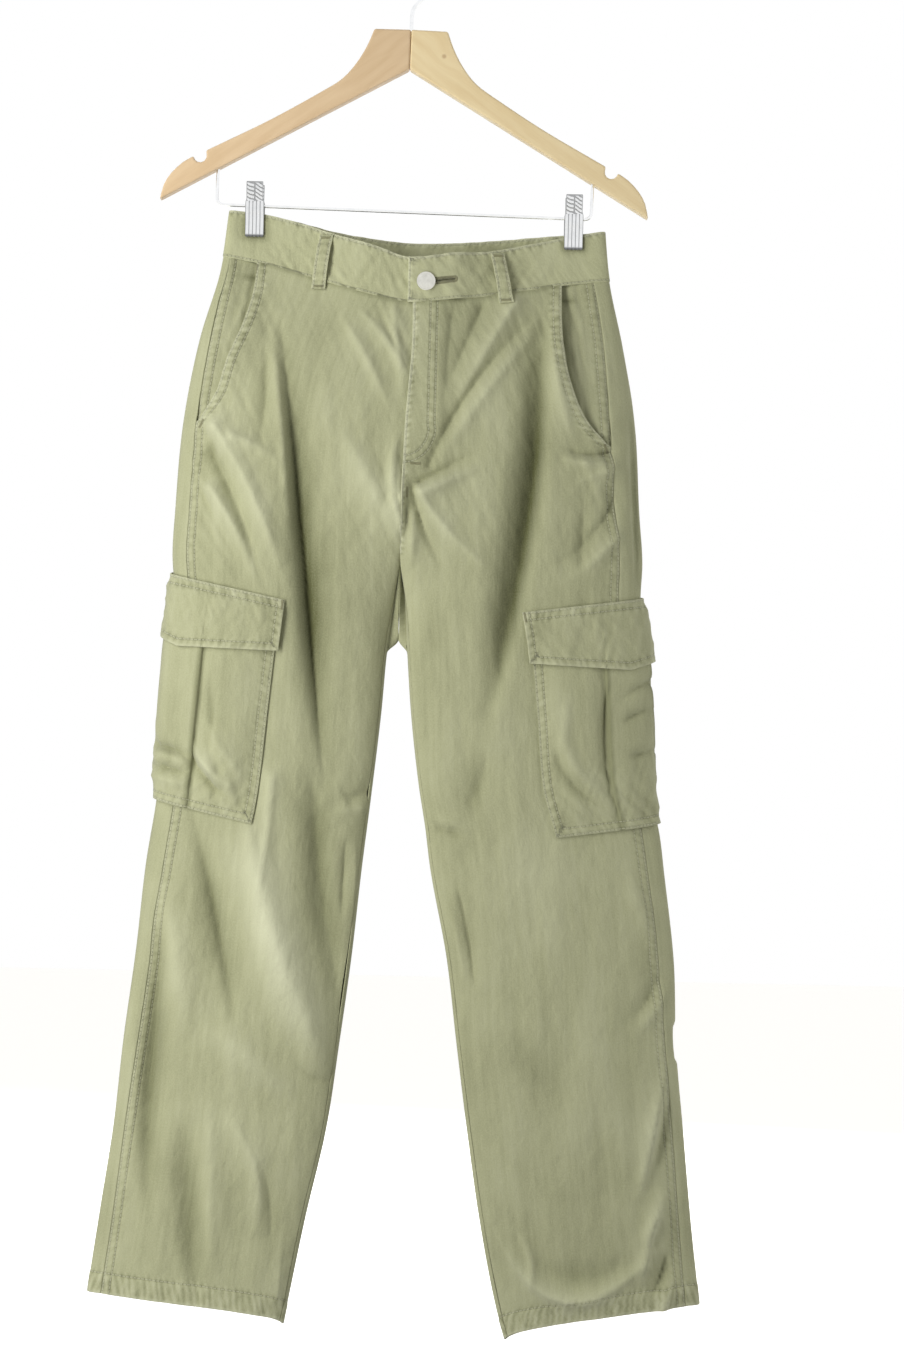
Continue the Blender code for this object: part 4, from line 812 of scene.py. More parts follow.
def makeFront(name, tacks):
    leg = legs[name]
    lapped = name == "left"  # this front ends in the fly
    number = rowNumbers(leg)
    (slantTop, slantTopX), foot = leg["slant"][0], leg["slant"][-1][0]
    side = rowHeights(leg, 0, number, float(bandEdge("frontLow", slantTopX)))
    inner = rowHeights(leg, 1, number, float(bandEdge("frontLow", 1.0)))
    start = xAt(leg, outerStart(leg, side), side)
    end = frontInnerX(leg, inner, number)
    share = shares(np.abs(start - end), front["columns"])
    closed = 1.0 - forkShare("front", inner)[:, None]
    gathered = mix(share, np.sin(0.5 * math.pi * share), front["gather"] * closed)
    x = mix(start[:, None], end[:, None], gathered)
    z = mix(side[:, None], inner[:, None], share)
    topZ = bandEdge("frontLow", x) - front["bandGap"]
    firstZ = mix(leg["rows"][0][0], leg["rows"][0][1], share)
    z = np.where(number[:, None] < 1.0, mix(topZ, firstZ, np.clip(number, 0, 1)[:, None]), z)
    off = offAt(leg, x, z)
    base = np.stack([x, -sheetDepth(leg, "front", off, z), z], -1)
    out = unit(np.cross(np.gradient(base, axis=0), np.gradient(base, axis=1)))
    out = out * np.where(out[len(out) // 2, front["columns"] // 2, 1] > 0.0, -1.0, 1.0)
    folds = creases(leg, "front", off, x, z)
    run = np.clip((slantTop - z) / (slantTop - foot), 0.0, 1.0)
    beside = 1.0 - ramp(np.abs(x - slantX(leg, z)), 0.0, front["gapeWidth"])
    lift = folds + np.where(z > foot, front["gape"] * beside * np.sin(math.pi * run), 0.0)
    if lapped:
        beside = 1.0 - ramp(x, front["flyWidth"], front["flyWidth"] + front["flyFade"])
        lift = lift + front["flyLift"] * beside * ramp(z, front["flyFoot"] - 20.0, front["flyFoot"] + 5.0)
    points = base + out * lift[..., None]
    across, down = distances(points)
    toFoot = down[-1:] - down
    fromBand = bandEdge("frontLow", x) - z
    # painted shadow under the waistband's foot
    bandShadow = front["bandShade"] * np.exp(-(fromBand / front["bandShadeReach"]) ** 2)
    strength = mix(front["seamStrength"], 1.0, ramp(z, foot - 14.0, foot + 6.0))
    seams = {"outerSeam": (across, down, strength), "hem": (toFoot, across), "tack": tackField(x, z, tacks),
             "shade": (folds - bandShadow, 0.0)}
    if lapped:
        past = far * ramp(z, *front["flySeamEnd"])
        # Strength 2 gives the fly's edge a strong pale line: wear and painted highlight.
        seams["flySeam"] = (across[:, -1:] - across + past, down, 2.0)
        seams["flyCurve"] = (*flyStitch(x, z), 0.6)
    piece = shell(f"{name}FrontCloth", points, out, panelWall(points, toFoot),
                  lappedTwill if lapped else frontTwill, seams, place=(girth(leg, "front", off, z), -z))
    declare(piece, f"front_{name}", front["area"])


makeFront("right", ((-138.0, -297.0, 80.0), (-183.0, -440.0, 60.0)))
makeFront("left", ((142.0, -311.0, 90.0), (184.0, -455.0, -60.0), (11.0, -473.0, 0.0), (4.0, -499.0, 90.0)))
print("fronts made")

# Backs: round the outer edge to the side seam in front, and from the fork round the inner edge too.
back = {"wrapColumns": 9, "wrapTurn": 1.6, "columns": 84, "strip": 7, "leastStrip": 4.5, "centre": -1.0,
        "forkShade": 8.0, "forkReach": 11.0, "flat": (0.285, 1.0), "area": 0.222}


def makeBack(name):
    leg = legs[name]
    number = rowNumbers(leg)[:, None]
    side, facing, inner = (rowHeights(leg, part, number, leg["rows"][0][part]) for part in range(3))
    early, toBand = number < 1.0, np.clip(number, 0.0, 1.0)
    apart = number >= crotchRow  # rows where the back has a leg of its own
    toLeg = ramp(number, crotchRow, crotchRow + 1.0)
    seam = size(leg, "seam", side) - 0.5 * front["seamGap"]
    fine = np.array(fineEdge)
    turn = np.linspace(1.0, 0.0, back["wrapColumns"] + 1)[1:-1] ** back["wrapTurn"]
    wrap = np.concatenate([seam - fine, (seam - fine[-1]) * turn], 1)
    wrapZ = side + 0.0 * wrap
    wrapTop = bandEdge("frontLow", xAt(leg, wrap, wrapZ)) - front["bandGap"]
    wrapZ = np.where(early, mix(wrapTop, wrapZ, toBand), wrapZ)
    gap = mix(0.5 * front["seamGap"], 0.5 * front["crotchGap"], ramp(number, crotchRow - 1.0, crotchRow))
    centre = back["centre"] + leg["sign"] * gap
    width = mix(offAt(leg, centre, inner), legWidth(leg, inner), toLeg)
    share = shares(width[:, 0], back["columns"], softStart=False)
    one, ends = 1.0 - np.cos(0.5 * math.pi * share), 0.5 - 0.5 * np.cos(math.pi * share)
    bent = mix(mix(one, share, 0.6), mix(ends, share, 0.4), 1.0 - forkShare("back", inner))
    off = np.sort(width * np.where(share > 1.0 - 2.0 / width, share, bent), 1)
    mainZ = mix(side, inner, share)
    topZ = bandEdge("backLow", xAt(leg, off, mainZ)) - front["bandGap"]
    mainZ = np.where(early, mix(topZ, mix(leg["rows"][0][0], leg["rows"][0][2], share), toBand), mainZ)
    first, firstOut = laid(leg, -girth(leg, "front", wrap, wrapZ), wrapZ, 0.0)
    main, mainOut = laid(leg, girth(leg, "back", off, mainZ), mainZ, 0.0)
    reach = inseam(facing) - 0.5 * front["inseamGap"]
    strip = shares(np.maximum(reach[:, 0], back["leastStrip"]), back["strip"], softStart=False)[:, 1:]
    curved = innerPoint(leg, "front", np.maximum(strip * reach, 0.0), mix(inner, facing, strip))
    end = curved[:, -1:].copy()
    crotch = np.stack([centre, end[..., 1] + front["crotchGap"], end[..., 2] - front["crotchGap"]], -1)
    straight = mix(main[:, -1:], crotch, strip[..., None])
    stripPoints = mix(straight, curved, ramp(number, crotchRow, crotchRow + 0.8)[..., None])
    points = np.concatenate([first, main, stripPoints], 1)
    out = np.concatenate([firstOut, mainOut, np.repeat(mainOut[:, -1:], strip.shape[1], 1)], 1)
    cut = first.shape[1] + main.shape[1] - 1  # the last column above the crotch
    keep = np.ones((len(points) - 1, points.shape[1] - 1), bool)
    keep[number[:-1, 0] < crotchRow - 1e-6, cut:] = False
    across, down = distances(points)
    toFoot = down[-1:] - down
    wall = panelWall(points, toFoot)
    for column, thin in enumerate(edgeWall):
        edge = wall[:, cut - column]
        wall[:, cut - column] = np.where(apart[:, 0], edge, np.minimum(edge, front["wall"] * thin))
    toCentre = np.where(apart, further, np.abs(across[:, cut:cut + 1] - across))
    x, z = points[..., 0], points[..., 2]
    # painted shadow on the backs between the legs at the fork
    forkShadow = np.exp(-(x / back["forkReach"]) ** 2) * ramp(z, -640.0, -600.0) * ramp(z, -535.0, -565.0)
    wave = creases(leg, "back", offAt(leg, x, z), x, z) - back["forkShade"] * forkShadow
    seams = {"centreSeam": (toCentre, down), "hem": (toFoot, across), "wrapSeam": (across, down, 0.2),
             "shade": (wave, 0.0)}
    piece = shell(f"{name}BackCloth", points, out, wall, backTwill, seams, keep, (across, -z))
    declare(piece, f"back_{name}", back["area"])


for name in sides:
    makeBack(name)
print("backs made")

# The waistband is one ring, with its button end lapped over the other in front.
band = {"wall": 2.4, "lapX": 1.0, "lap": 36.0, "lapLift": 3.1, "sideZ": {"right": -265.0, "left": -275.0},
        "turn": 30.0, "step": 2.3, "slot": (13.0, 43.0), "slotShare": 0.425, "slotHalf": (1.4, 0.5),
        "slotTurn": (22.0, 28.0), "seatHalf": 0.9, "lapEnd": (40.0, 62.0), "clipShadow": 8.0,
        "clipShadowReach": 4.5, "flat": (0.72, 0.044), "area": 0.72 * 0.042}


def makeBand():
    right, left = (float(size(legs[name], "out", band["sideZ"][name])) for name in sides)
    turn = band["turn"]
    around = np.linspace(-1.0, 1.0, 31)

    def run(face, start, end):
        count = int(abs(end - start) / band["step"])
        return [(face, x) for x in np.linspace(start, end, count)]

    def side(edge, inwards, faces):
        offs = inwards * turn * around ** 2
        return [(faces[0] if s < 0.0 else faces[1], edge + off) for s, off in zip(around, offs)][1:-1]

    soft = [band["lapX"] + off for off in fineEdge][::-1]
    slotStart, slotEnd = band["slot"]
    slots = list(np.linspace(slotEnd, slotStart, 16))
    spots = ([("front", band["lapX"] + band["lap"] - off) for off in fineEdge[:-1]]
             + run("front", band["lapX"] + band["lap"] - fineEdge[-1], right + turn)
             + side(right, 1.0, ("front", "back")) + run("back", right + turn, left - turn)
             + side(left, -1.0, ("back", "front")) + run("front", left - turn, slotEnd + 2.0)
             + [("front", x) for x in slots] + run("front", slotStart - 2.0, band["lapX"] + 3.6)
             + [("front", x) for x in soft])
    face = np.array([spot[0] == "front" for spot in spots])[None]
    x = np.array([spot[1] for spot in spots])[None]
    lapped = np.arange(x.size)[None] > x.size // 2
    onLap = lapped & face
    lift = np.where(onLap, band["lapLift"] * (1.0 - ramp(x, *band["lapEnd"])), 0.0)
    inSlot = onLap & (x > slotStart - 0.1) & (x < slotEnd + 0.1)
    low, top = (np.where(face, bandEdge(f"front{edge}", x), bandEdge(f"back{edge}", x))
                for edge in ("Low", "Top"))
    tall = top - low
    slotHalf = np.where(inSlot, mix(*band["slotHalf"], ramp(x, *band["slotTurn"])), band["seatHalf"]) / tall
    seat = band["slotShare"]
    fine = np.array(fineEdge)[:, None] / tall
    steps = np.linspace(0.0, 1.0, 8)[1:, None]
    share = np.concatenate([fine, mix(fine[-1:], seat - slotHalf, steps), seat + slotHalf,
                            mix(seat + slotHalf, 1.0 - fine[-1:], steps), (1.0 - fine)[::-1][1:]])
    slotRow = len(fineEdge) + len(steps) - 1
    z = mix(low, top, share)
    isRight = x <= 0.0
    outHere = np.where(isRight, *(size(legs[name], "out", z) for name in sides))
    outThere = np.where(isRight, right, left)
    near = 1.0 - ramp(np.abs(outHere - x), 10.0, 60.0)
    x = x + (outHere - outThere) * np.maximum(near, np.abs(outThere - x) < turn - 0.5)
    slanted = 0.5 * waves(x + 1.1 * z, z, 15.0, 6) + 0.5 * waves(x - 0.8 * z, z, 24.0, 7)
    slanted = slanted + 0.9 * crumple(x, z, 21.0, 80)
    ripple = np.where(face, slanted + 0.9 * waves(x, 0.3 * z, 60.0, 9), 1.1 * waves(x, 0.25 * z, 17.0, 6))
    ripple = ripple * ramp(np.abs(outHere - x), 4.0, 20.0)
    for clipX in hung["clips"]:
        ripple = ripple * ramp(np.abs(x - clipX), 9.0, 22.0)
    # painted shadow on the band's front round the foot of each clip; it goes into the shade field alone, not
    # the shape
    clipShadow = np.zeros(ripple.shape)
    for name in ("clip_right_front", "clip_left_front"):
        low, high = (np.array(corner) * 1000.0 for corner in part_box(name))
        outside = np.hypot(np.maximum(np.maximum(low[0] - x, x - high[0]), 0.0), np.maximum(low[2] - z, 0.0))
        clipShadow = clipShadow - face * band["clipShadow"] * np.exp(-(outside / band["clipShadowReach"]) ** 2)
    frontPoints, frontOut = onBody("front", x, z, lift + ripple)
    backPoints, backOut = onBody("back", x, z, ripple)
    points = np.where(face[..., None], frontPoints, backPoints)
    out = np.where(face[..., None], frontOut, backOut)
    keep = np.ones((len(points) - 1, points.shape[1] - 1), bool)
    hole = inSlot[0, :-1] & inSlot[0, 1:]
    keep[slotRow, hole] = False
    across, down = distances(points)
    edge = fromEnds(down)
    endAway = across[:, -1:] - across
    away = np.minimum(edge, endAway)
    along = np.where(endAway < edge, down, across)
    slotX, slotZ = np.where(onLap, points[..., 0] - slotStart, further), (share - seat) * tall
    slotReach = 0.5 * (slotEnd - slotStart)
    outside = np.hypot(np.maximum(np.abs(slotX - slotReach) - slotReach, 0.0),
                       np.maximum(np.abs(slotZ) - slotHalf * tall, 0.0))
    buttonhole = (np.where(onLap, np.minimum(outside, 30.0), further), slotX + slotZ)
    strength = np.where(endAway < 8.0, 1.5, mix(0.3, 1.5, ramp(share, 0.4, 0.6)))
    seams = {"bandEdge": (away, along, strength), "buttonhole": buttonhole, "shade": (ripple + clipShadow, 0.0)}
    piece = shell("waistbandCloth", points, out, softWall(points, band["wall"]), bandTwill, seams, keep)
    declare(piece, "waistband", band["area"])


makeBand()
print("waistband made")

# Belt loops: flat on the band at the top, off it in the middle, and sewn down below the band.
loop = {"width": 12.6, "stand": 2.6, "wall": 1.6, "gap": 0.8, "rows": 46, "columns": 6, "sewn": 12.0,
        "tack": 2.4, "shade": 0.3, "flat": (0.0126, 0.066), "area": 0.0126 * 0.062}
loops = (  # face, x and drop from the band's edge, top and foot
    ("front", -74.0, 3.5, -80.5, 9.0), ("front", 81.0, 3.0, 90.0, 10.0), ("back", 108.0, 3.5, 112.0, 9.0),
    ("back", -1.0, 3.5, -1.0, 9.0), ("back", -104.0, 3.5, -108.0, 9.0))


def makeLoop(number, face, topX, topDrop, lowX, lowDrop):
    onBand = 0.5 * (band["wall"] + loop["wall"]) + loop["gap"]
    onPanel = 0.5 * (front["wall"] + loop["wall"]) + loop["gap"] + 0.4
    places = (0.0, 0.12, 0.22, 0.34, 0.66, 0.78, 0.88, 1.0)
    stand = loop["stand"]
    lifts = (onBand, onBand, onBand + 0.75 * stand, onBand + stand, onBand + stand,
             onBand + 0.7 * stand, onPanel + 0.6, onPanel)
    top = float(bandEdge(f"{face}Top", topX)) - topDrop
    low = float(bandEdge(f"{face}Low", lowX)) - lowDrop
    share = rowShares(top - low, loop["rows"])
    lift = column(tuple(zip(places, lifts)), 1, share)
    side = (shares(loop["width"], loop["columns"]) - 0.5) * loop["width"]
    x = mix(topX, lowX, share) + side
    z = mix(top, low, share) + 0.0 * side
    points, out = onBody(face, x, z, lift + 0.25 * waves(x * 2.0, z, 9.0, 20 + number))
    across, down = distances(points)
    ends = fromEnds(down)
    sewn = ends < loop["sewn"]
    tack = (np.where(sewn, side + 0.0 * ends, further), np.where(sewn, ends - loop["tack"], further))
    # the shade field pales the loop where it stands off the band: painted highlight
    seams = {"loopEdge": (fromSides(across), down), "tack": tack,
             "shade": (loop["shade"] * (lift - onBand), 0.0)}
    piece = shell(f"beltLoop{number}Cloth", points, out, softWall(points, loop["wall"]), loopTwill, seams)
    declare(piece, f"belt_loop_{number}", loop["area"])


for number, place in enumerate(loops, 1):
    makeLoop(number, *place)
print("belt loops made")

# Behind the fly: the zip's tape and the shield, strips beside the line of the fly's edge.
fly = {"tape": (-2.0, 24.0, -476.0), "shield": (-16.0, 32.0, -488.0), "gap": 0.8, "topX": 20.0,
       "drop": 2.0, "rows": 60, "columns": 14, "areaShare": 0.97}


def flyStrip(start, end, foot, lift):
    top = float(bandEdge("frontLow", fly["topX"])) - fly["drop"]
    z = mix(top, foot, rowShares(top - foot, fly["rows"]))
    x = size(legs["left"], "inner", z) + mix(start, end, shares(end - start, fly["columns"]))
    return onBody("front", x, z + 0.0 * x, lift)


def makeFly():
    tapeLift = -(front["wall"] + fly["gap"])
    for name, node, lift, material in (("flyShieldCloth", "fly_shield", 2.0 * tapeLift, insideTwill),
                                       ("zipTapeCloth", "zip_tape", tapeLift, zipCloth)):
        start, end, foot = fly["shield" if node == "fly_shield" else "tape"]
        points, out = flyStrip(start, end, foot, lift)
        across, down = distances(points)
        seams = {"stripEdge": (fromSides(across), down), "shade": (0.0, 0.0)}
        piece = shell(name, points, out, softWall(points, front["wall"]), material, seams)
        width, length = 0.001 * (end - start), 0.001 * float(down[-1].max())
        declare(piece, node, width * length * fly["areaShare"],
                "twill" if node == "fly_shield" else "zip_cloth")


makeFly()

# Hip facings, sewn into the side seam and running on under the slant edge of the front.
facing = {"tuckDrop": 1.4, "drop": 3.2, "under": 24.0, "tuck": 7.0, "beyond": 9.0, "columns": 30,
          "rows": 58, "level": -318.0, "slack": 0.9, "mostSlack": 1.2, "slackShade": 1.5,
          "mouthShade": 9.0, "rimShade": 4.0, "flat": (0.08, 0.18), "area": 0.0102}


def makeFacing(name):
    leg = legs[name]
    topX, foot = leg["slant"][0][1], leg["slant"][-1][0] - facing["beyond"]
    top = float(bandEdge("frontLow", topX))
    z = mix(top, foot, rowShares(top - foot, facing["rows"], softStart=False))
    seam = size(leg, "seam", z) + 0.5 * front["seamGap"]
    edge = slantOff(leg, z)
    start, end = seam - facing["tuck"], edge + facing["under"]
    off = mix(start, end, shares((end - start)[:, 0], facing["columns"]))
    bandZ = bandEdge("frontLow", xAt(leg, off, z)) - front["bandGap"]
    z = mix(z + 0.0 * off, bandZ, ramp(z, facing["level"], top))
    drop = facing["tuckDrop"] * ramp(off, seam + 2.5, seam) + facing["drop"] * ramp(
        off, seam + 1.0, seam + 0.85 * (edge - seam) + 5.0)
    drop = drop + facing["tuckDrop"] * ramp(z, foot + 34.0, foot + 12.0) * ramp(off, seam + 14.0, seam)
    slack = facing["slack"] * waves(off * 1.5, z, 15.0, 12 + leg["sign"])
    slack = slack * ramp(off, seam + 8.0, seam + 22.0)
    points, out = laid(leg, -girth(leg, "front", off, z), z, np.minimum(slack, facing["mostSlack"]) - drop)
    across, down = distances(points)
    wall = softWall(points, front["wall"], top=False)
    # painted shadow at the top of the pocket mouth and along the front's slant edge; the shade also follows
    # the slack
    mouth = np.exp(-((z - top + 13.0) / 2.8) ** 2) * ramp(off, edge - 18.0, edge - 7.0)
    rim = np.exp(-((edge - off) / 5.0) ** 2) * ramp(z, top - 95.0, top - 30.0)
    shade = facing["slackShade"] * slack - facing["mouthShade"] * mouth - facing["rimShade"] * rim
    piece = shell(f"{name}HipFacingCloth", points, out, wall, facingTwill,
                  {"facingSeam": (off - seam, down, 0.5), "shade": (shade, 0.0)})
    declare(piece, f"hip_facing_{name}", facing["area"])


for name in sides:
    makeFacing(name)
print("fly pieces and facings made")

# Cargo pockets and their flaps, by their place on the cloth: across from the side seam, down from
# the mouth.
pocket = {"height": 189.0, "halfTop": 89.0, "halfLow": 86.0, "puff": 5.6, "stripHalf": 23.0,
          "stripLift": 2.0, "stripPuff": 0.45, "stripTurn": 0.7, "step": 2.3, "plain": 80.0,
          "rows": 82, "tuck": 1.3, "crease": 1.25, "crumple": 1.5, "wave": 0.7, "roundGap": 1.5,
          "flatGap": 0.8, "flat": (0.215, 0.2), "area": 0.0355}
flap = {"half": 92.0, "end": 46.0, "point": 16.0, "above": 15.0, "length": 60.0, "rows": 28,
        "wall": 1.6, "clear": 1.5, "wave": 0.5, "crumple": 1.5, "flat": (0.188, 0.066), "area": 0.0112}


apartAlong = 400.0  # keeps the ripples of two edges from meeting in step


def pocketPlace(leg, across, down, lift):
    z = leg["pocket"] + across * leg["tilt"] - down
    centre = -girth(leg, "front", size(leg, "seam", z), z)
    return laid(leg, centre + across + down * leg["lean"], z, lift)


def sewnGap(across):
    return mix(pocket["roundGap"], pocket["flatGap"], ramp(np.abs(across), 30.0, 70.0))


def pocketHalf(down):
    return mix(pocket["halfTop"], pocket["halfLow"], down / pocket["height"])


def pocketLift(across, down):
    half = pocketHalf(down)
    edge = ramp(half - np.abs(across), 0.0, 30.0)
    foot = ramp(pocket["height"] - down, 0.0, 34.0)
    mouth = mix(0.3, 1.0, ramp(down, 0.0, 60.0))
    puff = mix(pocket["stripPuff"], 1.0, ramp(np.abs(across), 15.0, 45.0)) * mouth
    turn = pocket["stripTurn"]
    past = np.abs(across) - pocket["stripHalf"]  # beyond the strip's fold
    strip = pocket["stripLift"] * (1.0 - ramp(past, -turn, turn))
    tuck = pocket["tuck"] * np.exp(-((past - 3.0) / 2.6) ** 2) * edge * foot
    return (front["wall"] + sewnGap(across) + pocket["puff"] * puff * edge * foot
            + (strip - tuck) * np.minimum(mouth, foot + 0.4))


def acrossMarks(half):  # close together at the edges and at the strip
    inner, turn = pocket["stripHalf"], pocket["stripTurn"]
    plain = pocket["plain"]
    marks = [np.arange(start, end, pocket["step"]) for start, end in
             ((-plain, -inner - 6.0), (-inner + 2.0, inner - 2.0), (inner + 6.0, plain))]
    lines = np.array([-6.0, -4.5, -3.2, -2.0, -1.2, -turn, -0.3, 0.3, turn, 1.4])
    inside = np.concatenate([marks[0], -inner + lines, marks[1], inner - lines[::-1], marks[2]])
    half = np.atleast_1d(half)[:, None]
    outer = half - np.array([0.0, 0.35, 0.9, 1.8, 3.6])[None]
    squeezed = inside[None] * (half - 4.5) / plain
    keep = ramp(np.abs(inside), 40.0, 70.0)[None]
    return np.concatenate([-outer, mix(inside[None] + 0.0 * half, squeezed, keep), outer[:, ::-1]], 1)


def makePocket(name):
    leg = legs[name]
    down = rowShares(pocket["height"], pocket["rows"]) * pocket["height"]
    across = acrossMarks(pocketHalf(down[:, 0]))
    down = down + 0.0 * across
    place, _ = pocketPlace(leg, across, down, 0.0)
    below = ramp(down, 48.0, 66.0) * np.where(place[..., 1] < 0.0, 1.0, 0.0)
    crease = pocket["crease"] * creaseLift(pocketCreases, place[..., 0], place[..., 2]) * below
    crushedFoot = crumple(across, down, 20.0, 70 + leg["sign"]) * ramp(down, 95.0, 165.0)
    loose = waves(across, down, 30.0, 31 + leg["sign"]) * ramp(down, 20.0, 70.0)
    crease = crease + pocket["crumple"] * crushedFoot + pocket["wave"] * loose
    toSide, toFoot = pocketHalf(down) - np.abs(across), pocket["height"] - down
    away = np.minimum(toSide, toFoot)
    lift = pocketLift(across, down) + crease * ramp(away, 0.0, 14.0)
    points, out = pocketPlace(leg, across, down, lift)
    along = np.where(toSide < toFoot, down, across + apartAlong)
    # the pleat's edges get a line of painted shadow
    seams = {"pocketEdge": (away, along, 0.55), "strip": (pocket["stripHalf"] - np.abs(across), down),
             "shade": (crease, 0.0)}
    wall = softWall(points, front["wall"])
    piece = shell(f"{name}CargoPocketCloth", points, out, wall, pocketTwill, seams)
    declare(piece, f"cargo_pocket_{name}", pocket["area"])


def makeFlap(name):
    leg = legs[name]
    across = acrossMarks(flap["half"])
    reach = flap["end"] + flap["point"] * (1.0 - np.abs(across) / flap["half"])
    share = rowShares(flap["length"], flap["rows"])
    down = reach * share - flap["above"]
    across = across + 0.0 * down
    near = np.max([pocketLift(across + step, np.maximum(down, 0.0)) for step in (-7.0, 0.0, 7.0)], 0)
    onCloth = 0.5 * (front["wall"] + flap["wall"])
    lift = mix(onCloth + sewnGap(across), near + onCloth + flap["clear"], ramp(down, -13.0, -2.0))
    ripple = flap["wave"] * waves(across, down, 26.0, 41 + leg["sign"]) * ramp(down, -10.0, 5.0)
    dents = crumple(across, down, 19.0, 44 + leg["sign"]) * ramp(down, -12.0, 2.0)
    ripple = ripple + flap["crumple"] * dents
    points, out = pocketPlace(leg, across, down, lift + np.maximum(ripple, -0.4))
    toSide, toFoot = flap["half"] - np.abs(across), reach * (1.0 - share)
    away = np.minimum(toSide, toFoot)
    along = np.where(toSide < toFoot, down + 600.0, across)
    fromTop = reach * share
    sewn = fromTop < 12.0
    seams = {"flapEdge": (away, along, 0.8), "flapTop": (fromTop, across),
             "tack": (np.where(sewn, fromTop - 5.0, further), np.where(sewn, toSide - 2.0, further)),
             "shade": (ripple, 0.0)}
    piece = shell(f"{name}PocketFlapCloth", points, out, softWall(points, flap["wall"]), flapTwill, seams)
    declare(piece, f"cargo_flap_{name}", flap["area"])


for name in sides:
    makePocket(name)
    makeFlap(name)
print("cargo pockets made")

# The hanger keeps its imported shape. Its two arms are cut from different boards.
woodLook = {
    "right": {"early": paint(228, 200, 160), "late": paint(206, 174, 130), "grain": 0.62, "knot": None},
    "left": {"early": paint(246, 225, 178), "late": paint(224, 195, 142), "grain": -0.62,
             "knot": (29.0, -100.0)}}
woodMix = {"ring": 0.22, "fibre": 0.7, "patch": 0.8, "base": 0.12, "coat": 0.3, "coatRoughness": 0.25}
knotColour = paint(160, 118, 76)


def woodMaterial(name):
    look = woodLook[name]
    material, bench, shader = startMaterial(f"{name}ArmWood")
    x, y, z = (part * 1000.0 for part in bench.place())
    cos, sin = math.cos(look["grain"]), math.sin(look["grain"])
    along, across = x * cos + z * sin, z * cos - x * sin
    if look["knot"]:
        knotX, knotZ = look["knot"]
        near = bench.maths("SQRT", (x - knotX) * (x - knotX) + (z - knotZ) * (z - knotZ))
        across = across + near.step(22.0, 1.0) * 5.0
    bend = bench.noise(along / 90.0, across / 30.0, y / 40.0)
    ring = (across * 0.55 + bend * 16.0 + y * 0.12).sine() * 0.5 + 0.5
    fibre = bench.noise(along / 22.0, across / 0.7, y / 0.9, 3.0, 0.65)
    patch = bench.noise(along / 60.0, across / 14.0, 3.0)
    share = (ring * woodMix["ring"] + (fibre - 0.5) * woodMix["fibre"] + (patch - 0.5) * woodMix["patch"]
             + woodMix["base"])
    colour = share.span(0.0, 1.0).between(look["early"], look["late"])
    if look["knot"]:
        colour = (near.step(3.0, 0.8) * 0.5).between(colour, knotColour)
    shader.inputs["Coat Weight"].default_value = woodMix["coat"]
    shader.inputs["Coat Roughness"].default_value = woodMix["coatRoughness"]
    connect(bench, shader, colour, 0.42 + 0.16 * fibre, fibre * 0.1 + ring * 0.04)
    return material


steelLook = {"bright": paint(246, 247, 248), "dull": paint(218, 221, 224), "paintedShadow": paint(52, 54, 54)}


def steelMaterial(name, stretch, rough=0.16, knurled=False):
    look = steelLook
    material, bench, shader = startMaterial(name)
    place = bench.place()
    scratch = bench.noise(*(part * pull for part, pull in zip(place, stretch)), 3.0, 0.7)
    stain = bench.noise(*(part * 160.0 for part in place))
    colour = (scratch * 0.5 + (stain - 0.5) * 0.8).span(0.2, 0.9).between(look["bright"], look["dull"])
    height = scratch * 0.03
    if knurled:  # hatched tab above, ribs below, cut teeth at the foot, with painted shade in the hatching, the rib grooves and along the foot
        u, v, _ = bench.node("ShaderNodeUVMap", {"uv_map": "UVMap"}).parts()
        tab = v.step(clip["tabShare"] - 0.01, clip["tabShare"] + 0.01)
        half = abs(u - 0.5)
        hatch = (v * 88.0 + u * 12.0 + (u * 9.0).sine() * 0.9).sine()
        cut = hatch.step(0.1, 0.8).most(half.step(0.05, 0.02)).most(half.step(0.43, 0.49))
        cut = cut.most(v.step(0.965, 0.985)) * tab
        groove = abs((u * clip["ribs"]).fraction() - 0.5).step(0.25, 0.42) * (1.0 - tab)
        # painted shade in the cuts, the grooves between ribs and along the toothed foot
        paintedShadow = (cut * 0.6).most(groove * 0.7).most(v.step(0.05, 0.015) * 0.85)
        colour = (paintedShadow * 0.88 + 0.1).between(colour, look["paintedShadow"])
        height = height - cut * 0.35
    shader.inputs["Metallic"].default_value = 1.0
    connect(bench, shader, colour, rough + 0.14 * scratch, height)
    return material


def recoat(node, material):
    for slot in bpy.data.objects[node].material_slots:
        slot.material = material


clip = {"width": 16.6, "tabWidth": 15.2, "up": 21.0, "down": 28.0, "tabFoot": 3.5, "tabShare": 0.645,
        "plate": 1.0, "rib": 1.0, "ribs": 5, "tooth": 1.2, "across": 20, "rows": 28,
        "coil": 3.3, "wire": 1.1, "pitch": 1.45, "turns": 7}
jawProfile = (  # height from the bar, then out from its middle
    (21.0, 9.4), (12.0, 7.8), (3.5, 5.9), (-4.0, 5.8), (-9.0, 4.75), (-14.0, 4.05), (-28.0, 4.05))
wireSteel = steelMaterial("wireSteel", (40.0, 900.0, 900.0))
clipSteel = steelMaterial("clipSteel", (1500.0, 1500.0, 60.0), 0.2, knurled=True)
for name in sides:
    recoat(f"hanger_arm_{name}", woodMaterial(name))
for node in ("hanger_hook", "hanger_bar", "zip_slider"):
    recoat(node, wireSteel)


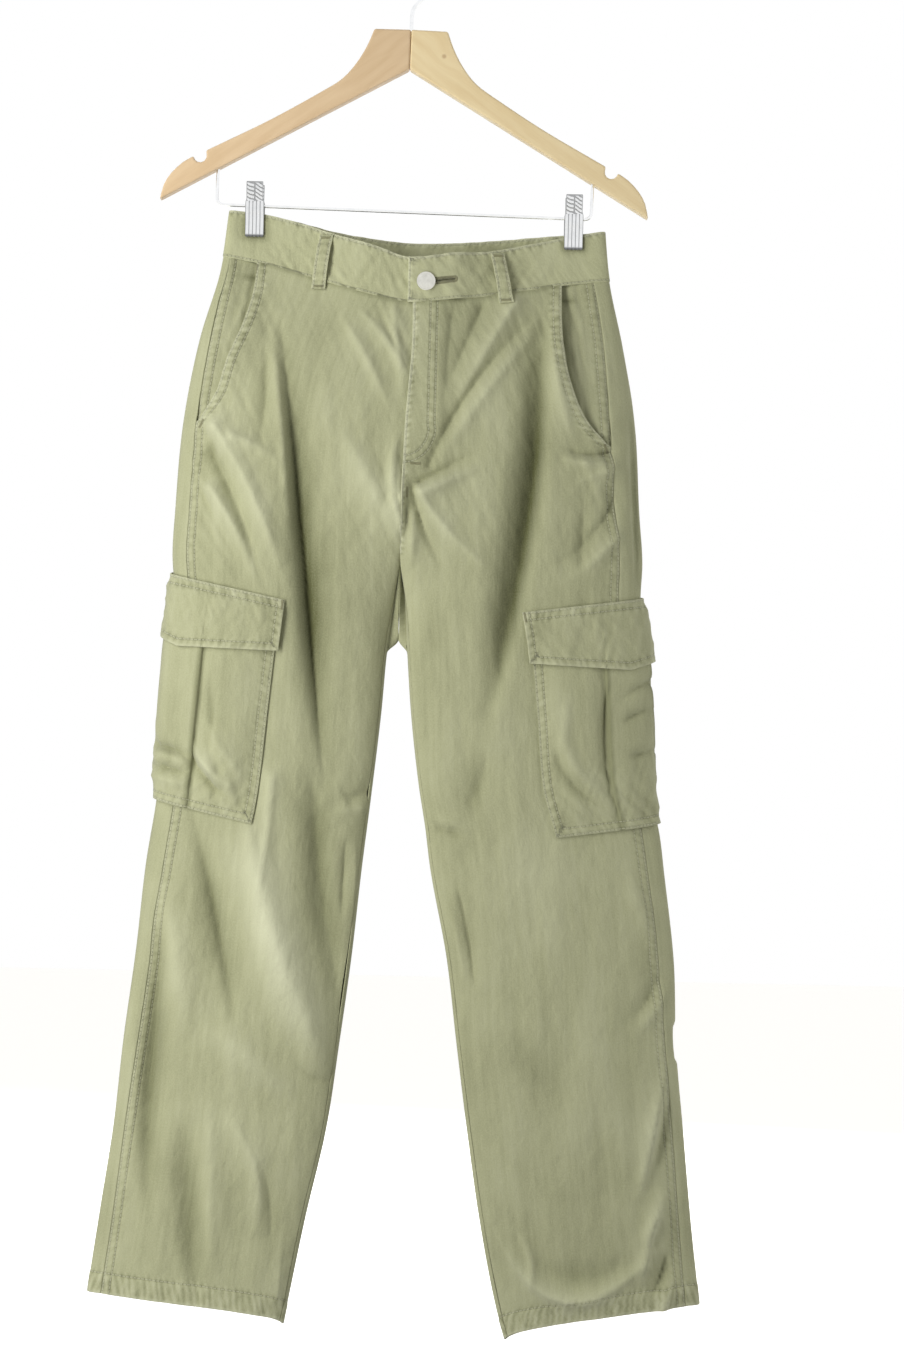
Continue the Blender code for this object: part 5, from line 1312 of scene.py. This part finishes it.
def pick(piece, rule):  # in edit mode: select the vertices a rule holds for
    shape = bmesh.from_edit_mesh(piece.data)
    for vert in shape.verts:
        vert.select_set(bool(rule(vert.co.x * 1000.0, vert.co.z * 1000.0)))
    shape.select_flush(True)
    bmesh.update_edit_mesh(piece.data)


def shift(x=0.0, y=0.0, z=0.0):  # move what is selected, in millimetres
    bpy.ops.transform.translate(value=(0.001 * x, 0.001 * y, 0.001 * z))


def finishWith(piece, kind, **settings):
    added = piece.modifiers.new(kind.lower(), kind)
    for name, value in settings.items():
        setattr(added, name, value)
    bpy.ops.object.modifier_apply(modifier=added.name)


def editAll(kind="VERT"):  # edit mode, with everything selected
    bpy.ops.object.mode_set(mode="EDIT")
    bpy.ops.mesh.select_mode(type=kind)
    bpy.ops.mesh.select_all(action="SELECT")


def smooth(piece, degrees, material):
    bpy.ops.object.mode_set(mode="OBJECT")
    bpy.ops.object.shade_smooth_by_angle(angle=math.radians(degrees))
    piece.data.materials.append(material)
    return piece


def makeJaw():
    tall = clip["up"] + clip["down"]
    bpy.ops.object.select_all(action="DESELECT")
    bpy.ops.mesh.primitive_grid_add(x_subdivisions=clip["across"], y_subdivisions=clip["rows"], size=0.001,
                                    rotation=(math.radians(90.0), 0.0, 0.0))
    jaw = bpy.context.object
    bpy.ops.object.transform_apply(location=False, rotation=True, scale=False)
    editAll()
    bpy.ops.transform.resize(value=(clip["width"], 1.0, tall))
    shift(z=0.5 * (clip["up"] - clip["down"]))
    for row in range(clip["rows"] + 1):
        height = clip["up"] - tall * row / clip["rows"]
        pick(jaw, lambda x, z: abs(z - height) < 0.1)
        shift(y=-float(column(jawProfile, 1, height)))
    spacing = clip["width"] / clip["across"]
    for line in range(clip["across"] + 1):
        place = spacing * line - 0.5 * clip["width"]
        out = (0.0, 0.7, 1.0, 0.7)[line % 4]
        if out > 0.0:
            pick(jaw, lambda x, z: abs(x - place) < 0.1 and z < clip["tabFoot"])
            shift(y=-clip["rib"] * out)
            pick(jaw, lambda x, z: abs(x - place) < 0.1 and z < 0.1 - clip["down"])
            shift(z=-clip["tooth"] * out)
    pick(jaw, lambda x, z: z > clip["tabFoot"] + 0.5)
    bpy.ops.transform.resize(value=(clip["tabWidth"] / clip["width"], 1.0, 1.0))
    bpy.ops.object.mode_set(mode="OBJECT")
    finishWith(jaw, "SUBSURF", levels=1, render_levels=1)
    finishWith(jaw, "SOLIDIFY", thickness=0.001 * clip["plate"], offset=0.0)
    finishWith(jaw, "BEVEL", width=0.0002, segments=2, limit_method="ANGLE", angle_limit=math.radians(50.0))
    return smooth(jaw, 45.0, clipSteel)


def makeSpring():  # a coil round the bar
    radius = 0.001 * clip["coil"]
    bpy.ops.object.select_all(action="DESELECT")
    bpy.ops.mesh.primitive_circle_add(vertices=8, radius=0.0005 * clip["wire"], location=(0.0, 0.0, radius))
    spring = bpy.context.object
    bpy.ops.object.transform_apply(location=True, rotation=True, scale=True)
    editAll()
    bpy.ops.transform.rotate(value=math.radians(90.0), orient_axis="Y", center_override=(0.0, 0.0, radius))
    shift(x=-0.5 * clip["pitch"] * clip["turns"])
    bpy.ops.object.mode_set(mode="OBJECT")
    finishWith(spring, "SCREW", axis="X", angle=math.radians(360.0), steps=20, render_steps=20,
               screw_offset=0.001 * clip["pitch"], iterations=clip["turns"], use_normal_calculate=True)
    editAll()
    bpy.ops.mesh.remove_doubles(threshold=0.00002)
    bpy.ops.mesh.fill_holes(sides=0)
    bpy.ops.mesh.normals_make_consistent(inside=False)
    return smooth(spring, 50.0, wireSteel)


def placed(model, name, node, moved):  # a copy with its own mesh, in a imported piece's place
    piece = addObject(name, model.data.copy())
    piece.data.transform(moved)
    standFor(piece, node)


def middle(node):
    low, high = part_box(node)
    return 0.5 * (Vector(low) + Vector(high))


jaw, spring = makeJaw(), makeSpring()
for name in sides:
    bar = Matrix.Translation(middle(f"clip_{name}_spring"))
    for model, title, part, moved in (
            (jaw, "FrontJaw", "front", bar), (jaw, "BackJaw", "back", bar @ Matrix.Rotation(math.pi, 4, "Z")),
            (spring, "Spring", "spring", bar)):
        placed(model, f"{name}Clip{title}", f"clip_{name}_{part}", moved)
for model in (jaw, spring):
    bpy.data.objects.remove(model)
print("hanger finished, clips made")

# The button: a shank through the slot and a domed head with a rolled rim.
button = {"place": (17.0, -307.7), "foot": 1.5, "sides": 64, "bright": paint(226, 225, 218),
          "dull": paint(188, 187, 178)}
buttonProfile = (  # radius and height, from the back of the shank outwards
    (1.3, 4.5), (2.6, 4.7), (7.9, 4.7), (8.4, 4.9), (8.6, 5.5), (8.55, 6.1), (8.2, 6.5), (7.7, 6.6),
    (7.3, 6.45), (6.8, 6.6), (5.4, 7.1), (3.6, 7.5), (1.8, 7.7), (0.6, 7.75))


def silverMaterial():
    material, bench, shader = startMaterial("satinSilver")
    place = bench.place()
    speck = bench.noise(*(part * 1400.0 for part in place), 3.0, 0.6)
    cloud = bench.noise(*(part * 190.0 for part in place))
    colour = (cloud * 0.8 + (speck - 0.5) * 0.5).span(0.2, 0.9).between(button["bright"], button["dull"])
    shader.inputs["Metallic"].default_value = 1.0
    connect(bench, shader, colour, 0.34 + 0.16 * speck, speck * 0.03)
    return material


def makeButton():
    radius, height = buttonProfile[0][0], button["foot"]
    bpy.ops.object.select_all(action="DESELECT")
    bpy.ops.mesh.primitive_circle_add(vertices=button["sides"], radius=0.001 * radius,
                                      location=(0.0, 0.0, 0.001 * height), fill_type="NGON")
    head = bpy.context.object
    bpy.ops.object.transform_apply(location=True, rotation=True, scale=True)
    editAll("FACE")
    for nextRadius, nextHeight in buttonProfile:
        bpy.ops.mesh.extrude_region_move(
            TRANSFORM_OT_translate={"value": (0.0, 0.0, 0.001 * (nextHeight - height))})
        share = nextRadius / radius
        bpy.ops.transform.resize(value=(share, share, 1.0))
        radius, height = nextRadius, nextHeight
    bpy.ops.mesh.select_all(action="SELECT")
    bpy.ops.mesh.normals_make_consistent(inside=False)
    smooth(head, 50.0, silverMaterial())
    (seat, _), (above, _) = (onBody("front", *button["place"], lift) for lift in (0.0, 5.0))
    out = Vector((above - seat).tolist()).normalized()
    turn = Vector((0.0, 0.0, 1.0)).rotation_difference(out).to_matrix().to_4x4()
    placed(head, "shankButton", "waist_button",
           Matrix.Translation(0.001 * Vector(seat.tolist())) @ turn)
    bpy.data.objects.remove(head)


makeButton()
print("button made")

# Soft daylight that grazes the cloth from the left, a weaker fill from the right, white all round.
studio = {"sky": 0.245, "middle": (0.0, 0.0, -0.7), "floor": -1.45, "floorSize": 9.0, "floorGlow": 0.8,
          "floorColour": paint(244, 243, 240)}
lights = {  # place, size and power
    "keyLight": ((-0.75, -0.78, -0.65), (0.4, 2.1), 15.3),
    "fillLight": ((1.2, -0.2, -0.65), (0.9, 1.6), 5.8),
    "rearLight": ((0.4, 2.1, -0.3), (1.4, 1.8), 34.0)}
for name, (place, extent, power) in lights.items():
    lamp = bpy.data.lights.new(name, "AREA")
    lamp.shape = "RECTANGLE"
    lamp.size, lamp.size_y = extent
    lamp.energy = power
    light = addObject(name, lamp)
    light.visible_glossy = False  # bright metal shows the white room alone
    light.location = place
    light.rotation_euler = (Vector(studio["middle"]) - Vector(place)).to_track_quat("-Z", "Y").to_euler()

world = bpy.data.worlds.new("paleRoom")
world.use_nodes = True
bpy.context.scene.world = world
sky = Signal(world.node_tree)
seen = sky.node("ShaderNodeLightPath", out="Is Camera Ray").most(
    sky.node("ShaderNodeLightPath", out="Is Glossy Ray"))
plain, white = (sky.node("ShaderNodeBackground", None, {"Color": paint(255, 255, 255), "Strength": strength})
                for strength in (studio["sky"], 1.0))
both = sky.node("ShaderNodeMixShader", None, {0: seen, 1: plain, 2: white})
world.node_tree.links.new(both.socket, world.node_tree.nodes["World Output"].inputs["Surface"])
bpy.context.scene.view_settings.view_transform = "Standard"

bpy.ops.mesh.primitive_plane_add(size=studio["floorSize"], location=(0.0, 0.0, studio["floor"]))
floor = bpy.context.object
floor.name = "paleFloor"
floorMaterial, _, floorShader = startMaterial("paleFloor")
for socket, value in (("Base Color", studio["floorColour"]), ("Roughness", 0.9),
                      ("Emission Color", studio["floorColour"]), ("Emission Strength", studio["floorGlow"])):
    floorShader.inputs[socket].default_value = value
floor.visible_diffuse = False  # so that the room and the lamps alone light the cloth
floor.data.materials.append(floorMaterial)
